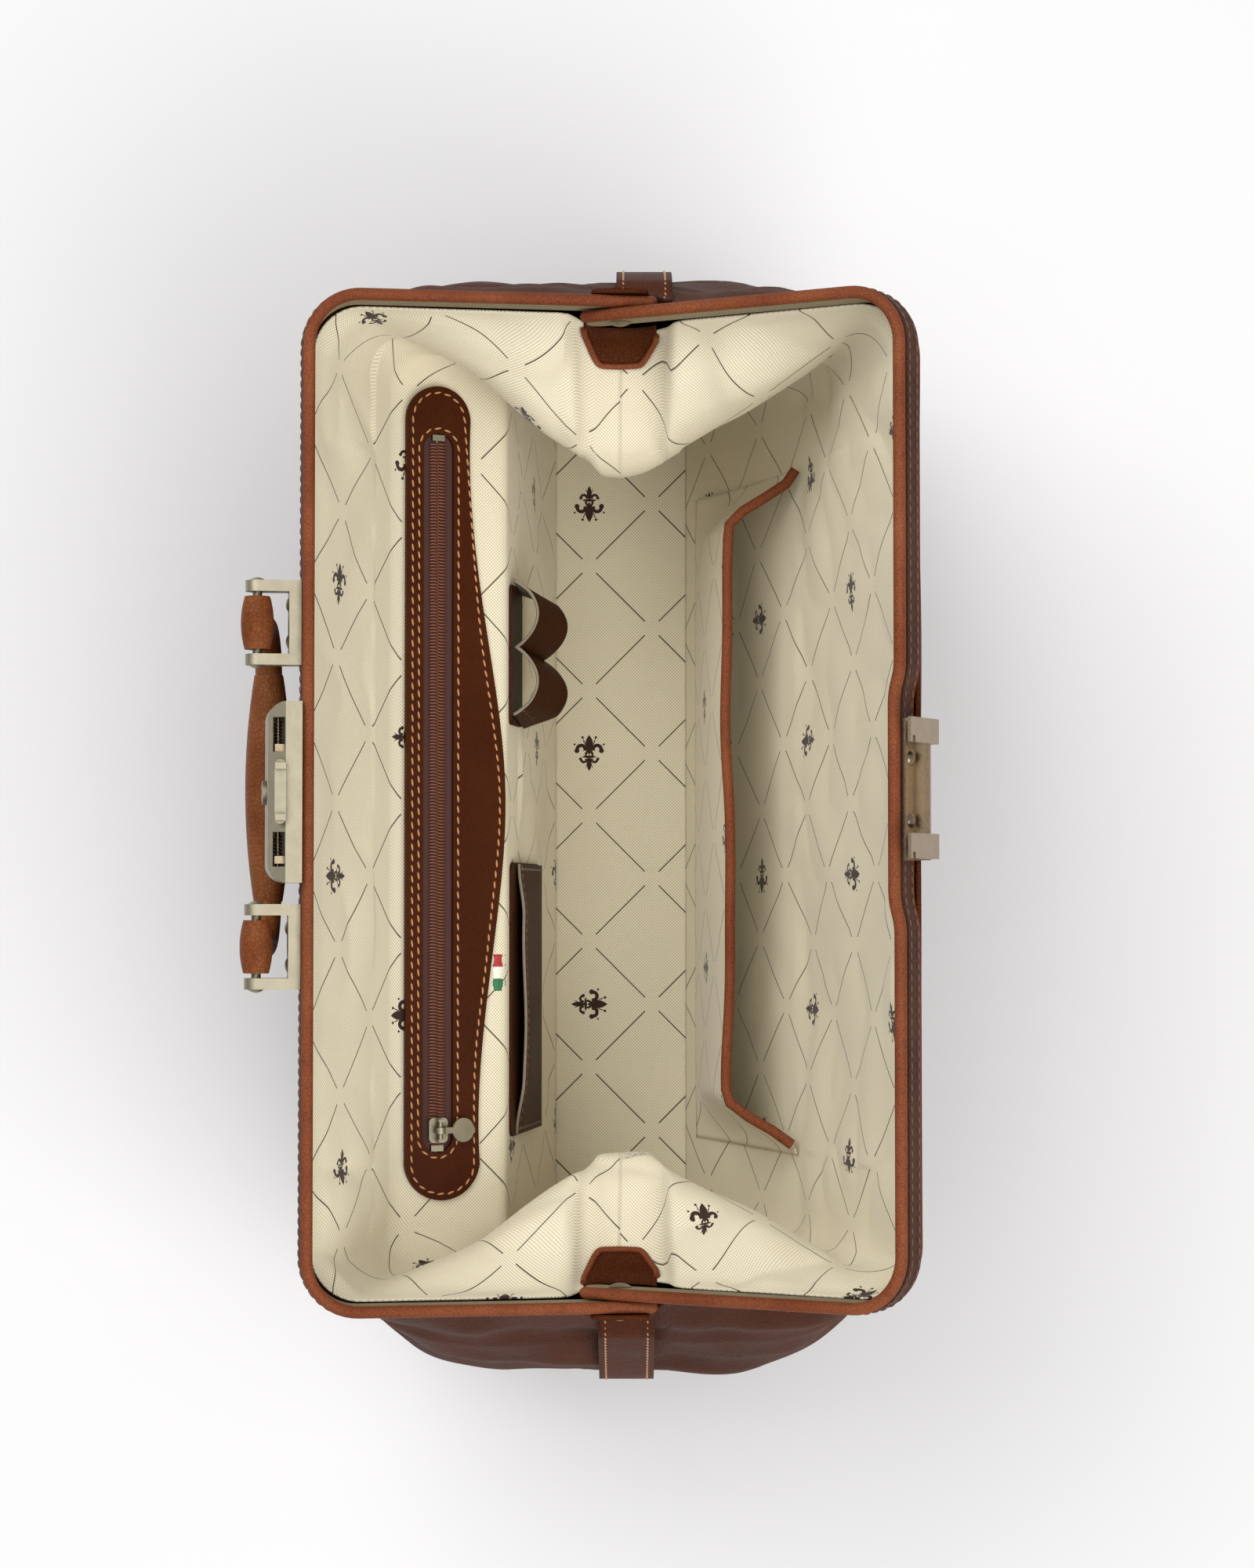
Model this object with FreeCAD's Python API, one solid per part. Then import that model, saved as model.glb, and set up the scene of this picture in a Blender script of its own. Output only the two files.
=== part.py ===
"""Doctor bag, standing open: a soft leather body on a hinged two-part steel mouth frame.

Axes: +X runs along the bag's length, -Y is the front (the half with the lock and the handle), +Z is up.
The origin is the underside of the middle foot. All lengths are in millimetres.
Each half of the mouth frame is drawn flat first, in "frame coordinates": x along the bag, u outwards
from the hinge line to the long bar, n square to the frame's plane. open_front() and open_back() then turn
it about the hinge line to where it stands when the bag is open.
"""
import FreeCAD
import Part
import math
import os

V = FreeCAD.Vector
os.makedirs("parts", exist_ok=True)

# ---------------------------------------------------------------- driving dimensions
# body
foot_height = 6.0
foot_radius = 7.0
base_leather = 2.5
base_board_thickness = 3.0
base_corner = 40.0
hinge_height = 208.0
body_leather = 2.0
# mouth frame
frame_half_length = 194.0
arm_length = 122.0
corner_radius = 22.0
# body, as wide as the frame lets it be
bulge_half_length = frame_half_length + 30.0
bulge_half_width = arm_length - 1.0
bulge_back = arm_length - 9.0
base_half_length = frame_half_length + 9.0
base_half_width = arm_length - 22.0
# mouth frame again
pivot_depth = 9.5
band_width = 17.0
arm_tail = 14.0
front_open_angle = 9.0
back_open_angle = 28.0
cover_leather = 1.3
steel_thickness = 1.6
facing_leather = 1.2
bead_diameter = 4.6
welt_diameter = 2.6
ply_gap = 0.1
running_gap = 0.3
joggle_depth = 2.4
joggle_run = 16.0
joggle_half_length = 34.0
# hinge rivets
rivet_radius = 2.5
rivet_hole_clearance = 0.06
rivet_head_radius = 4.4
rivet_head_height = 1.4
notch_radius = 19.5
# lock and its hook plate
lock_centre = -3.0
lock_half_length = 34.0
lock_depth = 12.6
lock_low = -13.0
lock_high = 12.0
lock_wall = 1.4
lock_bevel_depth = 6.4
lock_bevel_drop = 4.4
lock_slot_depth = 4.4
lock_slot_centre = 21.5
lock_slot_length = 13.0
lock_back_thickness = 1.2
hook_half_length = 26.0
hook_sheet = 1.2
hook_low = -5.0
hook_high = 5.0
hook_middle_reach = 4.6
hook_tab_reach = 7.8
hook_tab_top = 21.0
hook_tab_width = 9.2
hook_tab_centre = 21.0
bolt_travel = 3.0
key_radius = 4.6
key_barrel_radius = 3.6
# handle and its brackets
bracket_centre = -6.0
bracket_spacing = 122.0
bracket_half_length = 16.0
bracket_height = 9.0
bracket_base = 4.6
bracket_sheet = 4.2
handle_pin_reach = 16.4
handle_pin_radius = 1.8
pin_clearance = 0.06
handle_drop = 42.0
handle_bend = 20.0
grip_radius = 9.0
leg_radius = 5.2
core_radius = 3.0
loop_half_length = 10.0
loop_radius = 6.2
# zip pocket, measured down the slope of the front shelf
zip_centre = -6.0
zip_panel_half_length = 163.0
zip_panel_start = 4.5
zip_panel_narrow = 27.5
zip_panel_wide = 43.0
zip_panel_leather = 1.8
zip_window_half_length = 144.0
zip_window_start = 11.8
zip_window_width = 13.0
zip_tape_thickness = 0.6
zip_tape_margin = 5.0
zip_coil_width = 6.2
zip_coil_height = 1.4
zip_coil_split = 1.0
zip_slider_place = zip_centre + zip_window_half_length - 9.0
zip_slider_length = 10.0
puller_disc_radius = 4.8
puller_reach = 7.0
pouch_depth = 62.0
# lining and inner pockets
lining_thickness = 1.0
floor_half_width = 31.0
floor_half_length = 182.0
front_wall = ((7.0 - arm_length, 240.0), (7.0 - arm_length, 214.0), (-90.5, 155.0), (-46.0, 134.4), (-28.5, 13.1))
back_wall = ((arm_length - 17.4, 300.0), (arm_length - 17.4, 250.0), (88.0, 184.0), (74.0, 130.0), (50.0, 62.0), (28.5, 13.1))
end_wall_top = 183.4
end_wall_foot = 176.0
end_fold = ((13.1, 0.0), (70.0, 24.0), (116.0, 37.0), (154.0, 44.0), (172.0, 23.0), (184.0, 0.0), (300.0, 0.0))
# share of the fold at each distance from the hinge line, the front being negative
end_fold_run = ((-150.0, 0.0), (-62.0, 0.0), (-40.0, 0.42), (-18.0, 0.84), (0.0, 1.0), (24.0, 0.84), (50.0, 0.6), (76.0, 0.3), (98.0, 0.0), (150.0, 0.0))
pocket_half_length = 139.0
pocket_foot = (33.0, 26.0)
pocket_mouth = (44.0, 128.0)
pocket_end_run = 21.0
binding_radius = 2.2
card_low = 22.0
card_high = 133.0
card_depth = 64.0
card_leather = 1.3
card_gape = 8.0
pen_low = -91.0
pen_high = -34.0
pen_depth = 25.0
pen_loop_half_width = 11.0
pen_loop_height = 17.0
pen_leather = 1.3
ribbon_low = 59.0
ribbon_width = 15.0
strap_width = 22.0
strap_thickness = 1.8
trim_half_width = 15.0
trim_foot = 178.5
trim_leather = 1.0

# ---------------------------------------------------------------- derived places
band_top = pivot_depth
band_bottom = pivot_depth - band_width
ply_top = band_top - bead_diameter - ply_gap
ply_bottom = band_bottom + welt_diameter + ply_gap
band_stack = bead_diameter
back_half_length = frame_half_length - band_stack - running_gap
floor_z = foot_height + base_leather + base_board_thickness + 2 * ply_gap
closed_angle = math.degrees(math.acos(pivot_depth / (arm_length - corner_radius)))


# ---------------------------------------------------------------- helpers
def export(shape, node):
    """Writes one node, after making sure that it is one or more closed solids."""
    solids = shape.Solids
    if not solids or not all(s.isValid() and s.Volume > 0 for s in solids):
        raise ValueError("node " + node + " is not made of valid solids")
    shape = Part.makeCompound(solids) if len(solids) > 1 else solids[0]
    shape.exportStep("parts/" + node + ".step")


def frame_point(x, u, n, side):
    """Frame coordinates to flat space: the front half's u runs to -Y, the back half's to +Y."""
    return V(x, side * u, n)


def open_front(shape):
    """Turns a flat front piece about the hinge line to its open place."""
    placed = shape.copy()
    placed.rotate(V(0, 0, 0), V(1, 0, 0), -front_open_angle)
    placed.translate(V(0, 0, hinge_height))
    return placed


def open_back(shape):
    """Turns a flat back piece about the hinge line to its open place."""
    placed = shape.copy()
    placed.rotate(V(0, 0, 0), V(1, 0, 0), back_open_angle)
    placed.translate(V(0, 0, hinge_height))
    return placed


def arc_by_centre(centre, radius, start_deg, end_deg):
    """An arc in the XY plane from one polar angle to another, through their middle."""
    def at(angle):
        turn = math.radians(angle)
        return centre + V(radius * math.cos(turn), radius * math.sin(turn), 0)
    return Part.Arc(at(start_deg), at((start_deg + end_deg) / 2), at(end_deg)).toShape()


def frame_path(half_length, tail, inset, joggled):
    """The frame's outline in flat space on the +Y side, inset inwards from its outer face, as a wire."""
    half = half_length - inset
    bar = arm_length - inset
    radius = corner_radius - inset
    straight = arm_length - corner_radius
    edges = [Part.makeLine(V(half, -tail, 0), V(half, straight, 0))]
    edges.append(arc_by_centre(V(half - radius, straight, 0), radius, 0, 90))
    left_end = V(-half + radius, bar, 0)
    last = V(half - radius, bar, 0)
    if joggled:
        bend = (joggle_run ** 2 + joggle_depth ** 2) / (4 * joggle_depth)
        turn = math.degrees(math.asin(joggle_run / 2 / bend))
        outer, inner = bend - inset, bend + inset
        low = bar - joggle_depth
        begin = joggle_half_length + joggle_run
        edges.append(Part.makeLine(last, V(begin, bar, 0)))
        edges.append(arc_by_centre(V(begin, bar - outer, 0), outer, 90, 90 + turn))
        edges.append(arc_by_centre(V(joggle_half_length, low + inner, 0), inner, -90 + turn, -90))
        edges.append(Part.makeLine(V(joggle_half_length, low, 0), V(-joggle_half_length, low, 0)))
        edges.append(arc_by_centre(V(-joggle_half_length, low + inner, 0), inner, -90, -90 - turn))
        edges.append(arc_by_centre(V(-begin, bar - outer, 0), outer, 90 - turn, 90))
        last = V(-begin, bar, 0)
    edges.append(Part.makeLine(last, left_end))
    edges.append(arc_by_centre(V(-half + radius, straight, 0), radius, 90, 180))
    edges.append(Part.makeLine(V(-half, straight, 0), V(-half, -tail, 0)))
    return Part.Wire(edges)


def frame_ply(half_length, tail, outer_inset, thickness, low, high, joggled, side):
    """One ply of a frame half: a band between two insets, from n = low to n = high, with rounded tails."""
    outer = frame_path(half_length, tail, outer_inset, joggled)
    inner = frame_path(half_length, tail, outer_inset + thickness, joggled)
    ends_outer = outer.OrderedVertexes
    ends_inner = inner.OrderedVertexes
    start = Part.makeLine(ends_inner[0].Point, ends_outer[0].Point)
    stop = Part.makeLine(ends_outer[-1].Point, ends_inner[-1].Point)
    face = Part.Face(Part.Wire(Part.__sortEdges__(outer.Edges + inner.Edges + [start, stop])))
    face.translate(V(0, 0, low))
    band = face.extrude(V(0, 0, high - low))
    rounded = (high - low) / 2 - 0.2
    tips = [e for e in band.Edges
            if abs(e.Vertexes[0].Point.y + tail) < 0.01 and abs(e.Vertexes[-1].Point.y + tail) < 0.01
            and abs(e.Vertexes[0].Point.z - e.Vertexes[-1].Point.z) < 0.01
            and abs(e.Vertexes[0].Point.x - e.Vertexes[-1].Point.x) > 0.5]
    band = band.makeFillet(rounded, tips)
    return band if side > 0 else band.mirror(V(0, 0, 0), V(0, 1, 0))


def frame_bead(half_length, tail, diameter, centre_inset, centre_n, joggled, side):
    """A leather roll along one edge of the frame: a round bead along the frame's path, with domed ends."""
    path = frame_path(half_length, tail, centre_inset, joggled)
    start = path.OrderedVertexes[0].Point
    finish = path.OrderedVertexes[-1].Point
    circle = Part.Wire(Part.makeCircle(diameter / 2, start, V(0, 1, 0)))
    bead = path.makePipeShell([circle], True, False)
    for end in (start, finish):
        bead = bead.fuse(Part.makeSphere(diameter / 2, end))
    bead.translate(V(0, 0, centre_n))
    return bead if side > 0 else bead.mirror(V(0, 0, 0), V(0, 1, 0))


def box(x_low, x_high, y_low, y_high, z_low, z_high):
    """A box from its corners."""
    return Part.makeBox(x_high - x_low, y_high - y_low, z_high - z_low, V(x_low, y_low, z_low))


def rounded_box(x_low, x_high, y_low, y_high, z_low, z_high, radius, along):
    """A box whose four edges along one axis are rounded."""
    solid = box(x_low, x_high, y_low, y_high, z_low, z_high)
    axis = {"x": V(1, 0, 0), "y": V(0, 1, 0), "z": V(0, 0, 1)}[along]
    edges = [e for e in solid.Edges if abs(abs(e.tangentAt(e.FirstParameter).dot(axis)) - 1) < 1e-6]
    return solid.makeFillet(radius, edges)


def cylinder(point, axis, radius, length):
    """A cylinder that starts at a point and runs along an axis."""
    return Part.makeCylinder(radius, length, point, axis)


def rivet(point, axis, shank_radius, length, head_radius, head_height):
    """A rivet with a domed head at each end. The shank starts at the point and runs along the axis."""
    shank = cylinder(point, axis, shank_radius, length)
    first = domed_head(point, axis * -1, head_radius, head_height)
    second = domed_head(point + axis * length, axis, head_radius, head_height)
    return shank.fuse([first, second]).removeSplitter()


def domed_head(point, axis, radius, height):
    """A low dome that sits on a plane and rises along the axis."""
    sphere_radius = (radius ** 2 + height ** 2) / (2 * height)
    ball = Part.makeSphere(sphere_radius, point + axis * (height - sphere_radius))
    return ball.common(cylinder(point, axis, radius, height + 1))


def plate_from_profile(points, thickness, half_length):
    """A sheet bent along X: the profile's points in (y, z), thickened to one side, centred on x = 0."""
    offsets = []
    for index, (y, z) in enumerate(points):
        before = points[max(index - 1, 0)]
        after = points[min(index + 1, len(points) - 1)]
        dy, dz = after[0] - before[0], after[1] - before[1]
        size = math.hypot(dy, dz)
        offsets.append((y - dz / size * thickness, z + dy / size * thickness))
    ring = [V(-half_length, y, z) for y, z in points + offsets[::-1]]
    face = Part.Face(Part.makePolygon(ring + ring[:1]))
    return face.extrude(V(2 * half_length, 0, 0))


def frame_box(x_low, x_high, u_low, u_high, n_low, n_high, side):
    """A box in flat frame coordinates."""
    low, high = (u_low, u_high) if side > 0 else (-u_high, -u_low)
    return box(x_low, x_high, low, high, n_low, n_high)


# ---------------------------------------------------------------- the two halves of the mouth frame
def build_half(side, half_length, joggled):
    """The flat plies of one half: cover, steel bow, facing, top bead and lower welt, with rivet holes."""
    inset = 0.0
    plies = {}
    for name, thickness in (("cover", cover_leather), ("bow", steel_thickness), ("facing", facing_leather)):
        plies[name] = frame_ply(half_length, arm_tail, inset, thickness, ply_bottom, ply_top, joggled, side)
        inset += thickness + ply_gap
    plies["piping"] = frame_bead(half_length, arm_tail - 3, bead_diameter, bead_diameter / 2,
                                 band_top - bead_diameter / 2, joggled, side)
    plies["welt"] = frame_bead(half_length, -notch_radius, welt_diameter, 1.6, band_bottom + welt_diameter / 2,
                               joggled, side)
    hole = cylinder(V(-half_length - 5, 0, 0), V(1, 0, 0), rivet_radius + rivet_hole_clearance, 2 * half_length + 10)
    for name in ("cover", "bow", "facing"):
        plies[name] = plies[name].cut(hole)
    return plies


front = build_half(-1, frame_half_length, False)
back = build_half(1, back_half_length, True)

# ---------------------------------------------------------------- lock on the front bar (flat, u = outwards)
bar_face = arm_length + ply_gap
case_face = bar_face + lock_depth
slot_inner = case_face - lock_bevel_depth + 0.2


def lock_outline(inset):
    """The lock case's solid block, inset on all faces but the back: rounded ends and a bevelled upper edge."""
    block = frame_box(lock_centre - lock_half_length + inset, lock_centre + lock_half_length - inset,
                      bar_face + (lock_back_thickness + ply_gap if inset else 0), case_face - inset,
                      lock_low + inset, lock_high - inset, -1)
    upright = [e for e in block.Edges if abs(e.Vertexes[0].Point.z - e.Vertexes[-1].Point.z) > 5
               and e.Vertexes[0].Point.y < -case_face + inset + 0.1]
    block = block.makeFillet(7.0 - inset, upright)
    wedge = Part.Face(Part.makePolygon([
        V(-200, -(case_face - lock_bevel_depth), lock_high - inset),
        V(-200, -(case_face + 2), lock_high - inset - lock_bevel_drop * (lock_bevel_depth + 2) / lock_bevel_depth),
        V(-200, -(case_face + 2), lock_high + 5), V(-200, -(case_face - lock_bevel_depth), lock_high + 5),
        V(-200, -(case_face - lock_bevel_depth), lock_high - inset)])).extrude(V(400, 0, 0))
    return block.cut(wedge)


lock_case = lock_outline(0.0).cut(lock_outline(lock_wall))
lock_case = lock_case.cut(frame_box(lock_centre - lock_half_length + lock_wall, lock_centre + lock_half_length - lock_wall,
                                    bar_face - 1, bar_face + lock_back_thickness + 2 * ply_gap,
                                    lock_low + lock_wall, lock_high - lock_wall, -1))
for slot_side in (-1, 1):
    middle = lock_centre + slot_side * lock_slot_centre
    lock_case = lock_case.cut(frame_box(middle - lock_slot_length / 2, middle + lock_slot_length / 2,
                                        slot_inner, slot_inner + lock_slot_depth, 2, 20, -1))
lock_case = lock_case.cut(frame_box(lock_centre - 8.5, lock_centre + 8.5, slot_inner + 0.6, slot_inner + 2.4, 2, 20, -1))
key_axis_n = -4.0
key_point = V(lock_centre, -(case_face - lock_wall - 5), key_axis_n)
lock_case = lock_case.cut(cylinder(key_point, V(0, -1, 0), key_barrel_radius + 0.06, 12))
lock_back_plate = frame_box(lock_centre - lock_half_length + lock_wall + 0.1, lock_centre + lock_half_length - lock_wall - 0.1,
                            bar_face, bar_face + lock_back_thickness, lock_low + lock_wall + 0.1,
                            lock_high - lock_wall - 0.1, -1)
key_cylinder = cylinder(key_point, V(0, -1, 0), key_barrel_radius, 5 + lock_wall + 0.05)
key_cylinder = key_cylinder.fuse(cylinder(V(lock_centre, -(case_face + 0.05), key_axis_n), V(0, -1, 0), key_radius, 1.5))
key_cylinder = key_cylinder.removeSplitter()
key_cylinder = key_cylinder.cut(box(lock_centre - 0.6, lock_centre + 0.6, -(case_face + 5), -(case_face - 1.6),
                                    key_axis_n - 2.6, key_axis_n + 1.6))
key_cylinder = key_cylinder.cut(cylinder(V(lock_centre, -(case_face - 1.6), key_axis_n + 1.6), V(0, -1, 0), 1.3, 10))

# the bolt slides along the bag; its two fingers catch the hook plate's tabs
bolt = frame_box(lock_centre - 29.5, lock_centre + 26.5, slot_inner - 3.2, slot_inner - 0.4, 4.6, 7.4, -1)
for slot_side in (-1, 1):
    tab_edge = lock_centre + slot_side * hook_tab_centre + hook_tab_width / 2
    bolt = bolt.fuse(frame_box(tab_edge - 1.6, tab_edge + 1.2, slot_inner - 0.8, slot_inner + 3.6, 6.3, 7.4, -1))
bolt = bolt.fuse(frame_box(lock_centre - 2.5, lock_centre + 2.5, slot_inner - 0.8, slot_inner + 2.2, 4.6, 6.6, -1))
thumb_stem = frame_box(lock_centre - 2.5, lock_centre + 2.5, slot_inner + 0.8, slot_inner + 2.2, 6.7, 12.6, -1)
thumb_cap = frame_box(lock_centre - 12, lock_centre + 12, slot_inner - 0.2, slot_inner + 4.0, 12.6, 13.8, -1)
thumb_cap = thumb_cap.makeFillet(1.9, [e for e in thumb_cap.Edges
                                       if abs(e.Vertexes[0].Point.z - e.Vertexes[-1].Point.z) > 0.5])
for end_side in (-1, 1):
    rise = box(-1.2, 1.2, -(slot_inner + 3.9), -(slot_inner - 0.1), 13.0, 15.4)
    rise.translate(V(lock_centre + end_side * 9.6, 0, 0))
    thumb_cap = thumb_cap.fuse(rise)
thumb_piece = thumb_stem.fuse(thumb_cap).removeSplitter()

# return springs, seen through the slots beneath the fingers
lock_springs = []
bar_clearance = 2.0
for slot_side in (-1, 1):
    middle = lock_centre + slot_side * lock_slot_centre
    helix = Part.makeHelix(1.3, 10.4, 1.3)
    profile = Part.Wire(Part.makeCircle(0.32, V(1.3, 0, 0), V(0, 1, 0)))
    coil = Part.Wire(helix).makePipeShell([profile], True, True)
    coil.rotate(V(0, 0, 0), V(0, 1, 0), 90)
    coil.translate(V(middle - 5.2, -(slot_inner + 2.1), 1.4))
    lock_springs.append(coil)
lock_spring_bar = cylinder(V(lock_centre - lock_half_length + lock_wall + bar_clearance, -(slot_inner + 2.1), 1.4), V(1, 0, 0), 0.8,
                           2 * (lock_half_length - lock_wall - bar_clearance))

# screws hold the case to the bow through the cover
lock_screws = []
cover_cut = []
for screw_x in (-27.0, 27.0):
    start = V(lock_centre + screw_x, -(arm_length - cover_leather - ply_gap - 1.2), 0)
    lock_screws.append(cylinder(start, V(0, -1, 0), 1.4, bar_face + lock_back_thickness - (arm_length - cover_leather
                       - ply_gap - 1.2) + 0.1).fuse(
        domed_head(V(lock_centre + screw_x, -(bar_face + lock_back_thickness), 0), V(0, -1, 0), 2.8, 1.2)))
    cover_cut.append(cylinder(start, V(0, -1, 0), 1.45, 8))
for tool in cover_cut:
    front["cover"] = front["cover"].cut(tool)
    front["bow"] = front["bow"].cut(tool)
    lock_back_plate = lock_back_plate.cut(tool)

# ---------------------------------------------------------------- handle brackets and handle (flat, on the front bar)
pin_u = bar_face + handle_pin_reach
brackets = []
pins = []
bracket_screws = []
for bracket_side in (-1, 1):
    middle = bracket_centre + bracket_side * bracket_spacing / 2
    fork = frame_box(middle - bracket_half_length, middle + bracket_half_length, bar_face, bar_face + bracket_base,
                     -bracket_height / 2, bracket_height / 2, -1)
    for arm_side in (-1, 1):
        outer = middle + arm_side * bracket_half_length
        low, high = sorted((outer, outer - arm_side * bracket_sheet))
        fork = fork.fuse(frame_box(low, high, bar_face + 1, pin_u, -bracket_height / 2, bracket_height / 2, -1))
        fork = fork.fuse(cylinder(V(low, -pin_u, 0), V(1, 0, 0), bracket_height / 2, bracket_sheet))
    fork = fork.removeSplitter()
    fork = fork.cut(cylinder(V(middle - 20, -pin_u, 0), V(1, 0, 0), handle_pin_radius + 0.05, 40))
    pin = cylinder(V(middle - bracket_half_length - 0.1, -pin_u, 0), V(1, 0, 0), handle_pin_radius,
                   2 * bracket_half_length + 0.2)
    for head_side in (-1, 1):
        pin = pin.fuse(domed_head(V(middle + head_side * (bracket_half_length + 0.1), -pin_u, 0),
                                  V(head_side, 0, 0), 3.0, 1.2))
    for screw_x in (-7.0, 7.0):
        start = V(middle + screw_x, -(arm_length - cover_leather - ply_gap - 1.2), 0)
        reach = bar_face + bracket_base - (arm_length - cover_leather - ply_gap - 1.2)
        bracket_screws.append(cylinder(start, V(0, -1, 0), 1.4, reach).fuse(
            domed_head(start + V(0, -reach, 0), V(0, -1, 0), 2.8, 1.1)))
        tool = cylinder(start, V(0, -1, 0), 1.45, reach + 2)
        fork = fork.cut(tool)
        front["cover"] = front["cover"].cut(tool)
        front["bow"] = front["bow"].cut(tool)
    brackets.append(fork)
    pins.append(pin)


def handle_line(start_drop):
    """The handle's centre line, hanging from its pins: two legs, two bends and the grip, as a wire."""
    left = bracket_centre - bracket_spacing / 2
    right = bracket_centre + bracket_spacing / 2
    low = -handle_drop
    bend = handle_bend
    corner = bend * (1 - math.cos(math.radians(45)))
    return Part.Wire([
        Part.makeLine(V(left, 0, -start_drop), V(left, 0, low + bend)),
        Part.Arc(V(left, 0, low + bend), V(left + corner, 0, low + corner), V(left + bend, 0, low)).toShape(),
        Part.makeLine(V(left + bend, 0, low), V(right - bend, 0, low)),
        Part.Arc(V(right - bend, 0, low), V(right - corner, 0, low + corner), V(right, 0, low + bend)).toShape(),
        Part.makeLine(V(right, 0, low + bend), V(right, 0, -start_drop))])


def handle_tube(radius, start_drop):
    """A round bar along the handle's centre line."""
    path = handle_line(start_drop)
    start = path.OrderedVertexes[0].Point
    return path.makePipeShell([Part.Wire(Part.makeCircle(radius, start, V(0, 0, 1)))], True, False)


def barrel(middle, half, radius, taper):
    """A barrel turned about the X axis through (middle, 0, 0)."""
    profile = Part.Wire([
        Part.makeLine(V(middle - half, 0, 0), V(middle - half, 0, radius - taper)),
        Part.Arc(V(middle - half, 0, radius - taper), V(middle, 0, radius), V(middle + half, 0, radius - taper)).toShape(),
        Part.makeLine(V(middle + half, 0, radius - taper), V(middle + half, 0, 0)),
        Part.makeLine(V(middle + half, 0, 0), V(middle - half, 0, 0))])
    return Part.Face(profile).revolve(V(0, 0, 0), V(1, 0, 0), 360)


left_pin = bracket_centre - bracket_spacing / 2
right_pin = bracket_centre + bracket_spacing / 2
handle_core = handle_tube(core_radius, 2.2)
core_room = handle_tube(core_radius + 0.1, 2.2)
handle_cover = handle_tube(leg_radius, 3.5)
grip = barrel(bracket_centre, bracket_spacing / 2 - handle_bend + 3, grip_radius, 3.4)
grip.translate(V(0, 0, -handle_drop))
handle_cover = handle_cover.fuse(grip)
for middle in (left_pin, right_pin):
    eye = cylinder(V(middle - loop_half_length + 1, 0, 0), V(1, 0, 0), core_radius, 2 * loop_half_length - 2)
    room = cylinder(V(middle - loop_half_length - 1, 0, 0), V(1, 0, 0), core_radius + 0.1, 2 * loop_half_length + 2)
    handle_core = handle_core.fuse(eye)
    core_room = core_room.fuse(room)
    handle_cover = handle_cover.fuse(barrel(middle, loop_half_length, loop_radius, 1.4))
pin_room = cylinder(V(-120, 0, 0), V(1, 0, 0), handle_pin_radius + pin_clearance, 240)
handle_core = handle_core.removeSplitter().cut(pin_room)
handle_cover = handle_cover.removeSplitter().cut(core_room)


def hang(shape):
    """Moves a handle piece from its own pin axis to the brackets' pins on the open frame, still hanging."""
    tilt = math.radians(front_open_angle)
    placed = shape.copy()
    placed.translate(V(0, -pin_u * math.cos(tilt), hinge_height + pin_u * math.sin(tilt)))
    return placed


# ---------------------------------------------------------------- hook plate on the back bar (flat)
back_face = arm_length - joggle_depth + ply_gap
reach_face = arm_length + ply_gap
hook = frame_box(lock_centre - hook_half_length, lock_centre + hook_half_length, back_face, back_face + hook_sheet,
                 hook_low, hook_high, 1)
hook = hook.fuse(frame_box(lock_centre - hook_half_length, lock_centre + hook_half_length, back_face,
                           reach_face + hook_middle_reach, hook_low, hook_low + hook_sheet, 1))
for slot_side in (-1, 1):
    middle = lock_centre + slot_side * hook_tab_centre
    low, high = middle - hook_tab_width / 2, middle + hook_tab_width / 2
    shoulder = Part.Face(Part.makePolygon([
        V(low - slot_side * 0, reach_face, hook_low), V(low, reach_face + hook_tab_reach, hook_low),
        V(high, reach_face + hook_tab_reach, hook_low), V(high, reach_face, hook_low),
        V(low, reach_face, hook_low)])).extrude(V(0, 0, hook_sheet))
    tab = frame_box(low, high, reach_face + hook_tab_reach - hook_sheet, reach_face + hook_tab_reach, hook_low,
                    hook_tab_top, 1)
    tab = tab.cut(frame_box(high - 2.4, high + 1, reach_face, reach_face + 20, 17.0, 19.3, 1))
    hook = hook.fuse([shoulder, tab])
hook_rivets = []
for rivet_x in (-11.5, 11.5):
    start = V(lock_centre + rivet_x, back_face - cover_leather - ply_gap - 1.2, 0)
    reach = hook_sheet + cover_leather + ply_gap + 1.2
    hook_rivets.append(cylinder(start, V(0, 1, 0), 1.5, reach).fuse(
        domed_head(start + V(0, reach, 0), V(0, 1, 0), 3.0, 1.4)))
    tool = cylinder(start, V(0, 1, 0), 1.55, reach + 1)
    hook = hook.cut(tool)
    back["cover"] = back["cover"].cut(tool)
    back["bow"] = back["bow"].cut(tool)
hook = hook.removeSplitter()

# ---------------------------------------------------------------- export the moving frame halves
for ply in ("cover", "bow", "facing", "piping", "welt"):
    export(open_front(front[ply]), "front_frame_" + ply)
    export(open_back(back[ply]), "back_frame_" + ply)
export(open_front(lock_case), "lock_case")
export(open_front(lock_back_plate), "lock_back_plate")
export(open_front(key_cylinder), "key_cylinder")
export(open_front(bolt), "lock_bolt")
export(open_front(thumb_piece), "lock_thumb_piece")
export(open_front(Part.makeCompound(lock_springs)), "lock_springs")
export(open_front(lock_spring_bar), "lock_spring_bar")
export(open_front(Part.makeCompound(lock_screws)), "lock_screws")
for name, fork, pin in zip(("left", "right"), brackets, pins):
    export(open_front(fork), "handle_bracket_" + name)
    export(open_front(pin), "handle_pin_" + name)
export(open_front(Part.makeCompound(bracket_screws)), "bracket_screws")
export(hang(handle_core), "handle_core")
export(hang(handle_cover), "handle_cover")
export(open_back(hook), "hook_plate")
export(open_back(Part.makeCompound(hook_rivets)), "hook_rivets")

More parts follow.
